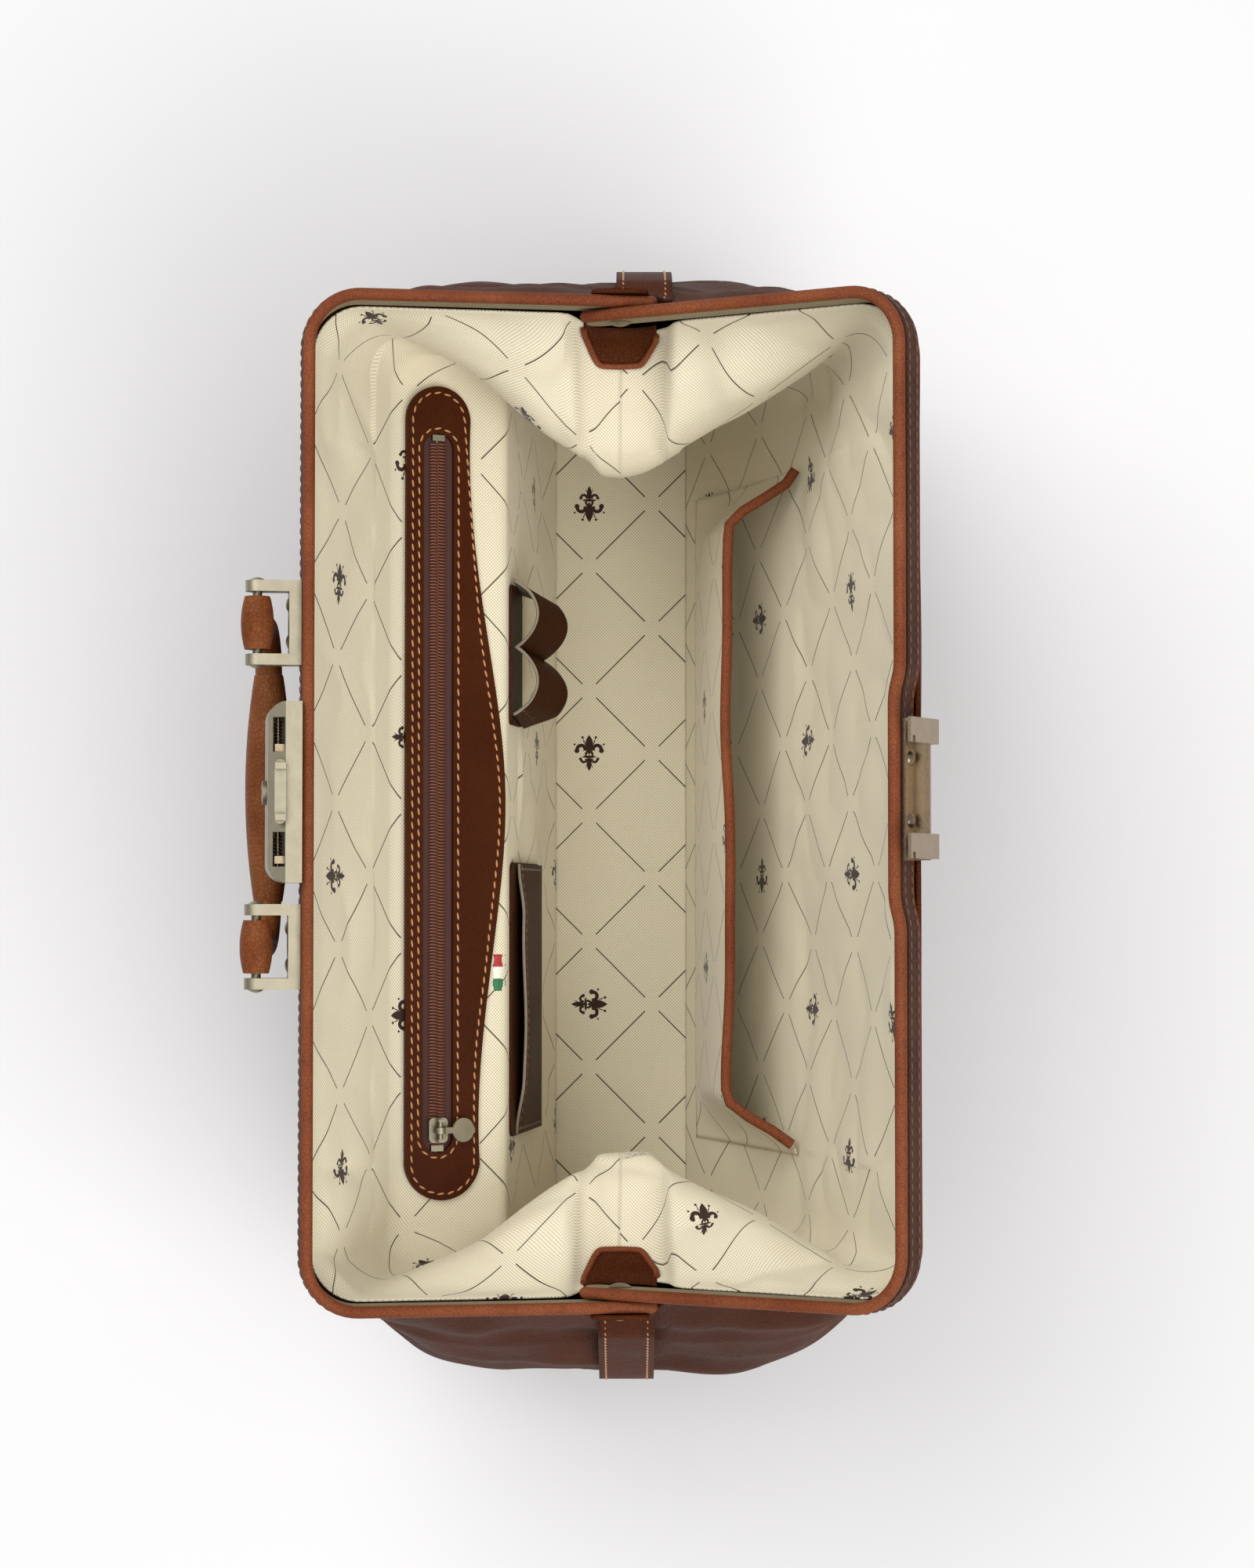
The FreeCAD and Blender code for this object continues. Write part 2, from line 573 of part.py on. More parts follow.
# ---------------------------------------------------------------- leather body
# height, half length, reach to the front, reach to the back, corner radius
sections = ((foot_height + base_leather + ply_gap, base_half_length, base_half_width, base_half_width, base_corner),
            (60.0, bulge_half_length - 10.0, bulge_half_width - 9.0, bulge_back - 6.0, 56.0),
            (110.0, bulge_half_length, bulge_half_width - 1.0, bulge_back - 1.0, 74.0),
            (160.0, bulge_half_length - 13.0, bulge_half_width, bulge_back, 58.0),
            (204.0, frame_half_length - 1.0, arm_length - 1.5, bulge_back + 0.5, 24.0),
            (222.0, frame_half_length - 2.0, arm_length - 2.8, bulge_back + 0.5, 22.0),
            (262.0, back_half_length + 0.9, arm_length - 11.0, arm_length - 11.5, 22.0),
            (280.0, back_half_length + 0.4, arm_length - 16.0, arm_length - 16.0, 22.0))


def rounded_rectangle(half_x, half_y, radius, z):
    """A rounded rectangle's wire, centred on the Z axis."""
    edges = []
    for turn, (cx, cy) in enumerate(((half_x - radius, half_y - radius), (-half_x + radius, half_y - radius),
                                     (-half_x + radius, -half_y + radius), (half_x - radius, -half_y + radius))):
        edges.append(arc_by_centre(V(cx, cy, z), radius, 90 * turn, 90 * turn + 90))
    wire = []
    for index, edge in enumerate(edges):
        following = edges[(index + 1) % 4]
        wire.append(edge)
        wire.append(Part.makeLine(edge.Vertexes[-1].Point, following.Vertexes[0].Point))
    return Part.Wire(wire)


def body_loft(grow):
    """The body's full outline as a solid, grown outwards by a distance."""
    rings = []
    for z, half_x, front, back, radius in sections:
        ring = rounded_rectangle(half_x + grow, (front + back) / 2 + grow, radius + grow, z)
        ring.translate(V(0, (back - front) / 2, 0))
        rings.append(ring)
    return Part.makeLoft(rings, True, False)


def frame_line(angle, side, u, n):
    """A point of a half frame's plane, in world y and z."""
    turn = math.radians(angle)
    return V(-400, side * (u * math.cos(turn) - n * math.sin(turn)), hinge_height + u * math.sin(turn) + n * math.cos(turn))


under = band_bottom - 0.3
front_far = frame_line(front_open_angle, -1, 320, under)
back_far = frame_line(back_open_angle, 1, 320, under)
above_frames = Part.Face(Part.makePolygon([
    front_far, frame_line(front_open_angle, -1, 0, under), frame_line(back_open_angle, 1, 0, under), back_far,
    V(-400, back_far.y, 700), V(-400, front_far.y, 700), front_far])).extrude(V(800, 0, 0))
hinge_room = cylinder(V(-frame_half_length - 0.2, 0, hinge_height), V(1, 0, 0), notch_radius, 2 * frame_half_length + 0.4)
body_outer = body_loft(0.0)
body_inner = body_loft(-body_leather)
shell = body_outer.cut(body_inner).cut(above_frames).cut(hinge_room)
seam = 178.0
export(shell.common(box(-seam, seam, -300, 0, 0, 400)), "body_front_panel")
export(shell.common(box(-seam, seam, 0, 300, 0, 400)), "body_back_panel")
export(shell.common(box(-400, -seam - 0.02, -300, 300, 0, 400)), "body_gusset_left")
export(shell.common(box(seam + 0.02, 400, -300, 300, 0, 400)), "body_gusset_right")

base_wire = rounded_rectangle(base_half_length, base_half_width, base_corner, foot_height)
base_panel = Part.Face(base_wire).extrude(V(0, 0, base_leather))
board_wire = rounded_rectangle(base_half_length - 5, base_half_width - 5, base_corner - 5, foot_height + base_leather + ply_gap)
base_board = Part.Face(board_wire).extrude(V(0, 0, base_board_thickness))
feet = []
for foot_x, foot_y in ((0, 0), (-160, -65), (160, -65), (-160, 65), (160, 65)):
    foot = cylinder(V(foot_x, foot_y, 0), V(0, 0, 1), foot_radius, foot_height)
    foot = foot.makeFillet(2.6, [e for e in foot.Edges if e.Closed and e.Vertexes[0].Point.z < 0.1])
    foot = foot.fuse(cylinder(V(foot_x, foot_y, foot_height - 1), V(0, 0, 1), 2.0, base_leather + base_board_thickness + 0.8))
    feet.append(foot.removeSplitter())
    room = cylinder(V(foot_x, foot_y, 0), V(0, 0, 1), 2.05, 30)
    base_panel = base_panel.cut(room)
    base_board = base_board.cut(room)
export(base_panel, "base_panel")
export(base_board, "base_board")
export(Part.makeCompound(feet), "feet")

# ---------------------------------------------------------------- hinge rivets and the straps they hold
strap_face = frame_half_length + running_gap
strap_skin = body_loft(2.8).cut(body_loft(0.4))
inner_face = back_half_length - cover_leather - steel_thickness - facing_leather - 2 * ply_gap - running_gap
for name, side in (("left", -1), ("right", 1)):
    tab = rounded_box(strap_face, strap_face + strap_thickness, -strap_width / 2, strap_width / 2,
                      hinge_height - 22, hinge_height + 11, 5.0, "x")
    low, high = sorted((side * strap_face, side * (strap_face + strap_thickness)))
    if side < 0:
        tab = tab.mirror(V(0, 0, 0), V(1, 0, 0))
    reach = sorted((side * 150, side * 300))
    strap = strap_skin.common(box(reach[0], reach[1], -strap_width / 2, strap_width / 2, 118, hinge_height - 8))
    strap = strap.cut(hinge_room).fuse(tab).removeSplitter()
    body_clear = body_loft(0.12).common(box(-400, 400, -40, 40, 100, hinge_height))
    strap = strap.cut(body_clear)
    strap = strap.cut(cylinder(V(-400, 0, hinge_height), V(1, 0, 0), rivet_radius + 0.05, 800))
    export(strap, "hinge_strap_" + name)
    axis = V(-side, 0, 0)
    export(rivet(V(side * (strap_face + strap_thickness), 0, hinge_height), axis, rivet_radius,
                 strap_face + strap_thickness - inner_face, rivet_head_radius, rivet_head_height), "hinge_rivet_" + name)

# ---------------------------------------------------------------- lining
front_sheet = plate_from_profile(list(front_wall), -lining_thickness, 230)
back_sheet = plate_from_profile(list(back_wall), lining_thickness, 230)
cavity_y = Part.Face(Part.makePolygon([V(-230, y, z) for y, z in front_wall + back_wall[::-1] + front_wall[:1]]))
cavity_y = cavity_y.extrude(V(460, 0, 0))
end_levels = [z for z, fold in end_fold]
end_places = [y for y, share in end_fold_run]


def end_wall_x(y, z):
    """How far from the middle the end lining is: its slack folds inwards most at the hinge line."""
    drop = dict(end_fold)[z]
    share = dict(end_fold_run)[y]
    slope = (min(z, 204.0) - end_levels[0]) / (204.0 - end_levels[0])
    return end_wall_foot + (end_wall_top - end_wall_foot) * slope - drop * share


def faceted(inner, outer):
    """A closed solid between two grids of points with the same layout."""
    rows, columns = len(inner), len(inner[0])
    triangles = []

    def quad(a, b, c, d):
        triangles.append((a, b, c))
        triangles.append((a, c, d))

    for r in range(rows - 1):
        for c in range(columns - 1):
            quad(inner[r][c], inner[r][c + 1], inner[r + 1][c + 1], inner[r + 1][c])
            quad(outer[r][c], outer[r + 1][c], outer[r + 1][c + 1], outer[r][c + 1])
    for r in range(rows - 1):
        quad(inner[r][0], inner[r + 1][0], outer[r + 1][0], outer[r][0])
        quad(inner[r][-1], outer[r][-1], outer[r + 1][-1], inner[r + 1][-1])
    for c in range(columns - 1):
        quad(inner[0][c], outer[0][c], outer[0][c + 1], inner[0][c + 1])
        quad(inner[-1][c], inner[-1][c + 1], outer[-1][c + 1], outer[-1][c])
    faces = [Part.Face(Part.makePolygon([a, b, c, a])) for a, b, c in triangles]
    solid = Part.Solid(Part.Shell(faces))
    return solid if solid.Volume > 0 else solid.reversed()


def end_grid(grow):
    """The end lining's points, a distance outwards of its inner face."""
    return [[V(end_wall_x(y, z) + grow, y, z) for y in end_places] for z in end_levels]


right_end = faceted(end_grid(0.0), end_grid(lining_thickness))
past_right = faceted(end_grid(0.0), end_grid(150.0))
past_left = past_right.mirror(V(0, 0, 0), V(1, 0, 0))
room_inside = rounded_box(-186, 186, front_wall[0][0] - 1.2, back_wall[0][0] + 1.6, 0, 420, 20.0, "z")
room_inside = room_inside.cut(above_frames).cut(hinge_room)


def on_slope(shape, start, end):
    """Lays a piece made flat on a sloping wall: its y runs down the slope from start to end, its z stands off it."""
    fall = math.degrees(math.atan2(start[1] - end[1], end[0] - start[0]))
    placed = shape.copy()
    placed.rotate(V(0, 0, 0), V(1, 0, 0), -fall)
    placed.translate(V(0, start[0], start[1]))
    return placed


def on_shelf(shape):
    """Lays a piece on the front wall's shelf."""
    return on_slope(shape, front_wall[2], front_wall[3])


def on_lower_wall(shape):
    """Lays a piece on the front wall below the shelf."""
    return on_slope(shape, front_wall[3], front_wall[4])


def slot_shape(x_low, x_high, s_low, s_high, t_low, t_high):
    """A slot-shaped block with fully rounded ends."""
    radius = (s_high - s_low) / 2
    middle = (s_low + s_high) / 2
    block = box(x_low + radius, x_high - radius, s_low, s_high, t_low, t_high)
    for x in (x_low + radius, x_high - radius):
        block = block.fuse(cylinder(V(x, middle, t_low), V(0, 0, 1), radius, t_high - t_low))
    return block.removeSplitter()


window_end = zip_window_start + zip_window_width
window = slot_shape(zip_centre - zip_window_half_length, zip_centre + zip_window_half_length,
                    zip_window_start, window_end, -5, 8)
front_lining = front_sheet.cut(past_right).cut(past_left).common(room_inside).cut(on_shelf(window))
back_lining = back_sheet.cut(past_right).cut(past_left).common(room_inside)
left_end = right_end.mirror(V(0, 0, 0), V(1, 0, 0))
export(front_lining, "lining_front")
export(back_lining, "lining_back")
export(left_end.common(cavity_y).common(room_inside), "lining_end_left")
export(right_end.common(cavity_y).common(room_inside), "lining_end_right")
export(rounded_box(-floor_half_length, floor_half_length, -floor_half_width, floor_half_width,
                   floor_z, floor_z + lining_thickness, 4.0, "z"), "lining_floor")
trim = faceted(end_grid(-0.2 - trim_leather), end_grid(-0.2))
trim = trim.common(rounded_box(100, 200, -trim_half_width, trim_half_width, trim_foot, hinge_height, 9.0, "x"))
trim = trim.cut(above_frames).cut(hinge_room)
export(trim.mirror(V(0, 0, 0), V(1, 0, 0)), "hinge_trim_left")
export(trim, "hinge_trim_right")

# ---------------------------------------------------------------- zip pocket on the shelf
end_round = 14.0
panel_low = zip_centre - zip_panel_half_length + end_round
panel_high = zip_centre + zip_panel_half_length - end_round
near, far_left, far_right = zip_panel_start, zip_panel_start + zip_panel_narrow, zip_panel_start + 32.0
curve = Part.BSplineCurve()
curve.interpolate([V(panel_high, far_right, 0), V(100, far_right + 0.6, 0), (V(55, zip_panel_start + 38.0, 0)),
                   V(-5, zip_panel_start + zip_panel_wide, 0), V(-75, zip_panel_start + 34.0, 0), V(panel_low, far_left, 0)])
panel_wire = Part.Wire([
    Part.makeLine(V(panel_low, near, 0), V(panel_high, near, 0)),
    Part.Arc(V(panel_high, near, 0), V(panel_high + end_round, (near + far_right) / 2, 0), V(panel_high, far_right, 0)).toShape(),
    curve.toShape(),
    Part.Arc(V(panel_low, far_left, 0), V(panel_low - end_round, (near + far_left) / 2, 0), V(panel_low, near, 0)).toShape()])
sheet_top = ply_gap + zip_tape_thickness
zip_panel = Part.Face(panel_wire)
zip_panel.translate(V(0, 0, sheet_top + ply_gap))
zip_panel = zip_panel.extrude(V(0, 0, zip_panel_leather)).cut(window)
coil_line = zip_window_start + zip_window_width / 2
tape_low = zip_centre - zip_window_half_length - 5
tape_high = zip_centre + zip_window_half_length + 5
tape = box(tape_low, tape_high, zip_window_start - zip_tape_margin, coil_line - zip_coil_split / 2, ply_gap, sheet_top)
tape = tape.fuse(box(tape_low, tape_high, coil_line + zip_coil_split / 2, window_end + zip_tape_margin, ply_gap, sheet_top))
coil_half = zip_window_half_length - 3.5
coil_base = sheet_top + ply_gap
coils = []
for side in (-1, 1):
    low, high = sorted((coil_line + side * zip_coil_split / 2, coil_line + side * zip_coil_width / 2))
    coils.append(rounded_box(zip_centre - coil_half, zip_centre + coil_half, low, high, coil_base,
                             coil_base + zip_coil_height, 0.5, "x"))
stops = [box(zip_centre + side * (zip_window_half_length - 1.8) - 1.2, zip_centre + side * (zip_window_half_length - 1.8) + 1.2,
             coil_line - 2.6, coil_line + 2.6, coil_base, coil_base + 1.6) for side in (-1, 1)]
wing = coil_base + zip_coil_height + 0.15
half = zip_slider_length / 2
slider = rounded_box(-half, half, -4, 4, wing, wing + 1.2, 2.0, "z")
slider = slider.fuse(rounded_box(-half, half, -4, 4, -1.0, -0.05, 2.0, "z"))
slider = slider.fuse(box(-2, 2, -0.4, 0.4, -0.1, wing + 0.1))
bar_height = wing + 3.4
for side in (-1, 1):
    slider = slider.fuse(box(side * 4.0 - 0.6, side * 4.0 + 0.6, -1.1, 1.1, wing + 1.0, bar_height + 1.1))
slider = slider.fuse(cylinder(V(-4, 0, bar_height), V(1, 0, 0), 0.9, 8)).removeSplitter()
slider.translate(V(zip_slider_place, coil_line, 0))
puller = cylinder(V(-1.2, 0, 0), V(1, 0, 0), 2.0, 2.4)
puller = puller.fuse(box(-1.2, 1.2, 0.4, puller_reach, -0.7, 0.7))
puller = puller.fuse(cylinder(V(0, puller_reach + 3.0, -0.7), V(0, 0, 1), puller_disc_radius, 1.4)).removeSplitter()
puller = puller.cut(cylinder(V(-5, 0, 0), V(1, 0, 0), 0.95, 10))
puller.rotate(V(0, 0, 0), V(1, 0, 0), -6)
puller.translate(V(zip_slider_place, coil_line, bar_height))
export(on_shelf(zip_panel), "zip_panel")
export(on_shelf(tape), "zip_tape")
export(on_shelf(coils[0]), "zip_coil_front")
export(on_shelf(coils[1]), "zip_coil_back")
export(on_shelf(Part.makeCompound(stops)), "zip_stops")
export(on_shelf(slider), "zip_slider")
export(on_shelf(puller), "zip_puller")

# the pocket bag behind the zip hangs between lining and leather
fall = math.atan2(front_wall[2][1] - front_wall[3][1], front_wall[3][0] - front_wall[2][0])


def shelf_point(s, t):
    """World y and z of a place on the shelf."""
    return (front_wall[2][0] + s * math.cos(fall) + t * math.sin(fall), front_wall[2][1] - s * math.sin(fall) + t * math.cos(fall))


def pouch_block(grow, top_t, x_half):
    """The hanging pocket bag's outline as a solid."""
    first = shelf_point(zip_window_start - 1.6 - grow, top_t)
    second = shelf_point(window_end + 1.6 + grow, top_t)
    low = second[1] - pouch_depth - grow
    ring = [first, second, (second[0], low), (first[0], low), first]
    return Part.Face(Part.makePolygon([V(zip_centre - x_half, y, z) for y, z in ring])).extrude(V(2 * x_half, 0, 0))


pouch = pouch_block(1.0, -lining_thickness - 0.15, zip_window_half_length + 4)
pouch = pouch.cut(pouch_block(0.0, 5.0, zip_window_half_length + 3))
export(pouch, "zip_pocket_bag")

# ---------------------------------------------------------------- open pockets and loops
def pocket_ring(y_middle, y_end, z):
    """The big pocket's sheet seen from above at one height, as a thin closed wire."""
    low, high = zip_centre + 7 - pocket_half_length, zip_centre + 7 + pocket_half_length
    points = [(low, y_end), (low + pocket_end_run, y_middle), (high - pocket_end_run, y_middle), (high, y_end)]
    inner = [(x, y - lining_thickness) for x, y in points]
    return Part.makePolygon([V(x, y, z) for x, y in points + inner[::-1] + points[:1]])


pocket = Part.makeLoft([pocket_ring(pocket_foot[0], 34.2, pocket_foot[1]), pocket_ring(pocket_mouth[0], 72.4, pocket_mouth[1])],
                       True, True)
export(pocket, "back_pocket")
pocket_low, pocket_high = zip_centre + 7 - pocket_half_length, zip_centre + 7 + pocket_half_length
binding_z = pocket_mouth[1] + binding_radius + ply_gap
track = [V(pocket_low + 1.5, 70.4, binding_z), V(pocket_low + pocket_end_run, pocket_mouth[0] - 0.5, binding_z),
         V(pocket_high - pocket_end_run, pocket_mouth[0] - 0.5, binding_z), V(pocket_high - 1.5, 70.4, binding_z)]
binding_parts = []
for first, second in zip(track, track[1:]):
    step = second - first
    binding_parts.append(cylinder(first, step * (1 / step.Length), binding_radius, step.Length))
for joint in track:
    binding_parts.append(Part.makeSphere(binding_radius, joint))
binding = binding_parts[0].fuse(binding_parts[1:]).removeSplitter()
export(binding, "back_pocket_binding")

card_back = rounded_box(card_low, card_high, 5, 5 + card_depth, 0.2, 0.2 + card_leather, 4.0, "z")
lift = 0.2 + card_leather + ply_gap
card_front = rounded_box(card_low, card_high, 13, 5 + card_depth, lift, lift + card_gape + card_leather, 4.0, "z")
card_front = card_front.cut(box(card_low + 3, card_high - 3, 5, 2 + card_depth, lift - 1, lift + card_gape))
export(on_lower_wall(card_back), "card_pocket_back")
export(on_lower_wall(card_front), "card_pocket_front")


def oval_cylinder(start, height, half_width, depth):
    """A cylinder along Y with an upright oval outline."""
    oval = Part.Ellipse(start + V(0, 0, height), start + V(half_width, 0, 0), start).toShape()
    return Part.Face(Part.Wire(oval)).extrude(V(0, depth, 0))


pen_back = rounded_box(pen_low, pen_high, 3, 3 + pen_depth, 0.2, 0.2 + pen_leather, 3.0, "z")
export(on_lower_wall(pen_back), "pen_loop_strip")
loops = []
for middle in (pen_low + 15, pen_high - 15):
    arch = oval_cylinder(V(middle, 4, lift), pen_loop_height + pen_leather, pen_loop_half_width + pen_leather, pen_depth - 2)
    arch = arch.cut(oval_cylinder(V(middle, 0, lift), pen_loop_height, pen_loop_half_width, 60))
    loops.append(arch.common(box(-200, 200, 0, 60, lift, lift + 30)))
export(on_lower_wall(Part.makeCompound(loops)), "pen_loops")
export(on_shelf(box(ribbon_low, ribbon_low + ribbon_width, 42.8, 48.6, 0.1, 0.6)), "ribbon_tab")
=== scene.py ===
import math

import bpy
from mathutils import Matrix, Vector, noise


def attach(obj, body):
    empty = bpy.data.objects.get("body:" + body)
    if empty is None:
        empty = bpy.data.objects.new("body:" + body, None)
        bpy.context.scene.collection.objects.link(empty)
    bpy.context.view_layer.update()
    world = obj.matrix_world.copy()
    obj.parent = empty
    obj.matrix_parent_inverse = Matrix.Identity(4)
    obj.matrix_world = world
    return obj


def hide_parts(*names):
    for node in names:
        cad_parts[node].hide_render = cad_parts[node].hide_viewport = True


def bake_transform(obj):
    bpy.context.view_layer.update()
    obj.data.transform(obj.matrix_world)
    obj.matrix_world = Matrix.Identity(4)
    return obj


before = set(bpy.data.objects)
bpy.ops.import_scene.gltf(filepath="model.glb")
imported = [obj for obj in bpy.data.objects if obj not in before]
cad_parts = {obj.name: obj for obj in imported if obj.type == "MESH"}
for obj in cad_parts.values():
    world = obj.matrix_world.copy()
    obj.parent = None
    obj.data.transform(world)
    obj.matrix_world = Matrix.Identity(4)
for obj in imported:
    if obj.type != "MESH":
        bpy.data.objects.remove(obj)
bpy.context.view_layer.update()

MM = 0.001

# ---------------- shared sizes, in millimetres, as in the CAD source
HINGE = 208.0
FRONT_TILT = math.radians(9.0)
BACK_TILT = math.radians(28.0)
BAND_LOW = -7.5
NOTCH = 19.5
ARM = 122.0
CORNER = 22.0
FRONT_HALF = 194.0
BACK_HALF = 189.1
ZIP_X = -6.0
SHELF_TOP = (-90.5, 155.0)
SHELF_END = (-46.0, 134.4)
WALL_FOOT = (-28.5, 13.1)
FLOOR_TOP = 12.9
LINING_REACH = {-1: 116.2, 1: 106.0}
LINING_HALF = 183.6
LINING_CORNER = 18.0
BULGE_HEIGHT = 105.0
PANEL_START = 4.5
PANEL_HALF = 149.0
WINDOW_START = 11.8
WINDOW_HALF = 144.0
WINDOW_ROUND = 6.5
CARD_LEFT, CARD_LENGTH = 22.5, 110.0
CARD_MOUTH, CARD_DROP = 13.5, 55.0


def smooth(t):
    t = min(max(t, 0.0), 1.0)
    return t * t * (3 - 2 * t)


def mix(a, b, t):
    return a + (b - a) * t


def along(table, key):
    """Monotone piecewise value from (key, value) pairs, straight between them."""
    if key <= table[0][0]:
        return table[0][1]
    for (k0, v0), (k1, v1) in zip(table, table[1:]):
        if key <= k1:
            return mix(v0, v1, (key - k0) / (k1 - k0))
    return table[-1][1]


def spline(table, key):
    """Catmull-Rom value through (key, value) pairs."""
    if key <= table[0][0]:
        return table[0][1]
    if key >= table[-1][0]:
        return table[-1][1]
    for i in range(len(table) - 1):
        k0, v0 = table[i]
        k1, v1 = table[i + 1]
        if key <= k1:
            before = table[max(i - 1, 0)]
            after = table[min(i + 2, len(table) - 1)]
            m0 = (v1 - before[1]) / max(k1 - before[0], 1e-9) * (k1 - k0)
            m1 = (after[1] - v0) / max(after[0] - k0, 1e-9) * (k1 - k0)
            t = (key - k0) / (k1 - k0)
            return ((2 * t ** 3 - 3 * t * t + 1) * v0 + (t ** 3 - 2 * t * t + t) * m0
                    + (3 * t * t - 2 * t ** 3) * v1 + (t ** 3 - t * t) * m1)


def frame_place(x, u, n, side):
    """Frame coordinates (u outwards from the hinge line, n square to the frame) to the row frame, in metres."""
    tilt = FRONT_TILT if side < 0 else BACK_TILT
    y = side * (u * math.cos(tilt) - n * math.sin(tilt))
    z = HINGE + u * math.sin(tilt) + n * math.cos(tilt)
    return Vector((x, y, z)) * MM


def slope_place(top, foot, x, s, t):
    """A place on a wall that slopes from top to foot, both (y, z): s down it, t off it. In metres."""
    fall = math.atan2(top[1] - foot[1], foot[0] - top[0])
    return Vector((x, top[0] + s * math.cos(fall) + t * math.sin(fall),
                   top[1] - s * math.sin(fall) + t * math.cos(fall))) * MM


def shelf_place(x, s, t):
    """A place on the zip shelf."""
    return slope_place(SHELF_TOP, SHELF_END, x, s, t)


def wall_place(x, s, t):
    """A place on the front wall below the shelf."""
    return slope_place(SHELF_END, WALL_FOOT, x, s, t)


# ---------------- shader groups
NUMBER, COLOUR, MESH = "NodeSocketFloat", "NodeSocketColor", "NodeSocketGeometry"


def srgb(code):
    """A hex colour as linear RGBA."""
    values = []
    for i in (0, 2, 4):
        c = int(code[i:i + 2], 16) / 255
        values.append(c / 12.92 if c <= 0.04045 else ((c + 0.055) / 1.055) ** 2.4)
    return (*values, 1.0)


class Nodes:
    """A short way to add and link shader or geometry nodes in one tree."""

    def __init__(self, tree):
        self.tree = tree

    def add(self, kind, inputs=None, **settings):
        node = self.tree.nodes.new(kind)
        for key, value in settings.items():
            setattr(node, key, value)
        for key, value in (inputs or {}).items():
            self.put(node.inputs[key], value)
        return node

    def put(self, socket, value):
        if isinstance(value, bpy.types.NodeSocket):
            self.tree.links.new(value, socket)
        elif isinstance(value, bpy.types.Node):
            self.tree.links.new(value.outputs[0], socket)
        else:
            socket.default_value = value

    def math(self, operation, first, second=0.0, clamp=False):
        node = self.add("ShaderNodeMath", {0: first, 1: second}, operation=operation)
        node.use_clamp = clamp
        return node.outputs[0]

    def times(self, first, second):
        return self.math("MULTIPLY", first, second)

    def minus(self, first, second):
        return self.math("SUBTRACT", first, second)

    def fade(self, value, low, high):
        """0 at low, 1 at high and straight between."""
        return self.add("ShaderNodeMapRange", {"Value": value, "From Min": low, "From Max": high}).outputs[0]

    def split(self, vector):
        return self.add("ShaderNodeSeparateXYZ", {0: vector}).outputs

    def blend(self, factor, first, second, mode="MIX"):
        node = self.add("ShaderNodeMix", data_type="RGBA", blend_type=mode)
        self.put(node.inputs[0], factor)
        self.put(node.inputs[6], first)
        self.put(node.inputs[7], second)
        return node.outputs[2]


def new_group(name, kind, sockets, outputs):
    group = bpy.data.node_groups.new(name, kind)
    for label, socket_type, value in sockets:
        socket = group.interface.new_socket(name=label, in_out="INPUT", socket_type=socket_type)
        if value is not None:
            socket.default_value = value
    for label, socket_type in outputs:
        group.interface.new_socket(name=label, in_out="OUTPUT", socket_type=socket_type)
    n = Nodes(group)
    return group, n, n.add("NodeGroupInput").outputs, n.add("NodeGroupOutput").inputs[0]


def leather_group():
    """Pebbled leather: fine cells, broad creases and patchy sheen. Sizes are in millimetres."""
    group, n, given, out = new_group("Leather", "ShaderNodeTree", [
        ("Colour", COLOUR, (0.1, 0.05, 0.03, 1)), ("Worn colour", COLOUR, (0.2, 0.1, 0.05, 1)),
        ("Grain size", NUMBER, 1.3), ("Grain depth", NUMBER, 0.35),
        ("Crease depth", NUMBER, 0.3), ("Roughness", NUMBER, 0.5)],
        [("Shader", "NodeSocketShader")])
    place = n.add("ShaderNodeTexCoord").outputs["Object"]
    rate = n.math("DIVIDE", 1000.0, given["Grain size"])
    cells = n.add("ShaderNodeTexVoronoi", {"Vector": place, "Scale": rate, "Randomness": 0.9},
                  feature="DISTANCE_TO_EDGE")
    broad = n.add("ShaderNodeTexNoise", {"Vector": place, "Scale": 26.0, "Detail": 4.0, "Roughness": 0.6})
    crease = n.add("ShaderNodeTexNoise", {"Vector": place, "Scale": 90.0, "Detail": 6.0, "Roughness": 0.65,
                                          "Distortion": 1.2})
    grain = n.fade(cells.outputs["Distance"], 0.0, 0.16)
    patch = n.fade(broad.outputs[0], 0.38, 0.68)
    worn = n.blend(n.times(patch, 0.55), given["Colour"], given["Worn colour"])
    dark = n.math("MULTIPLY_ADD", grain, 0.35)
    dark.node.inputs[2].default_value = 0.65
    tint = n.blend(1.0, worn, dark, "MULTIPLY")
    rough = n.math("ADD", given["Roughness"], n.times(n.minus(broad.outputs[0], 0.5), 0.25))
    first = n.add("ShaderNodeBump", {"Strength": given["Crease depth"], "Distance": 0.0012, "Height": crease})
    bump = n.add("ShaderNodeBump", {"Strength": given["Grain depth"], "Distance": 0.0004, "Height": grain,
                                    "Normal": first})
    shader = n.add("ShaderNodeBsdfPrincipled", {"Base Color": tint, "Roughness": rough, "Normal": bump,
                                                "Specular IOR Level": 0.07})
    n.put(out, shader)
    return group


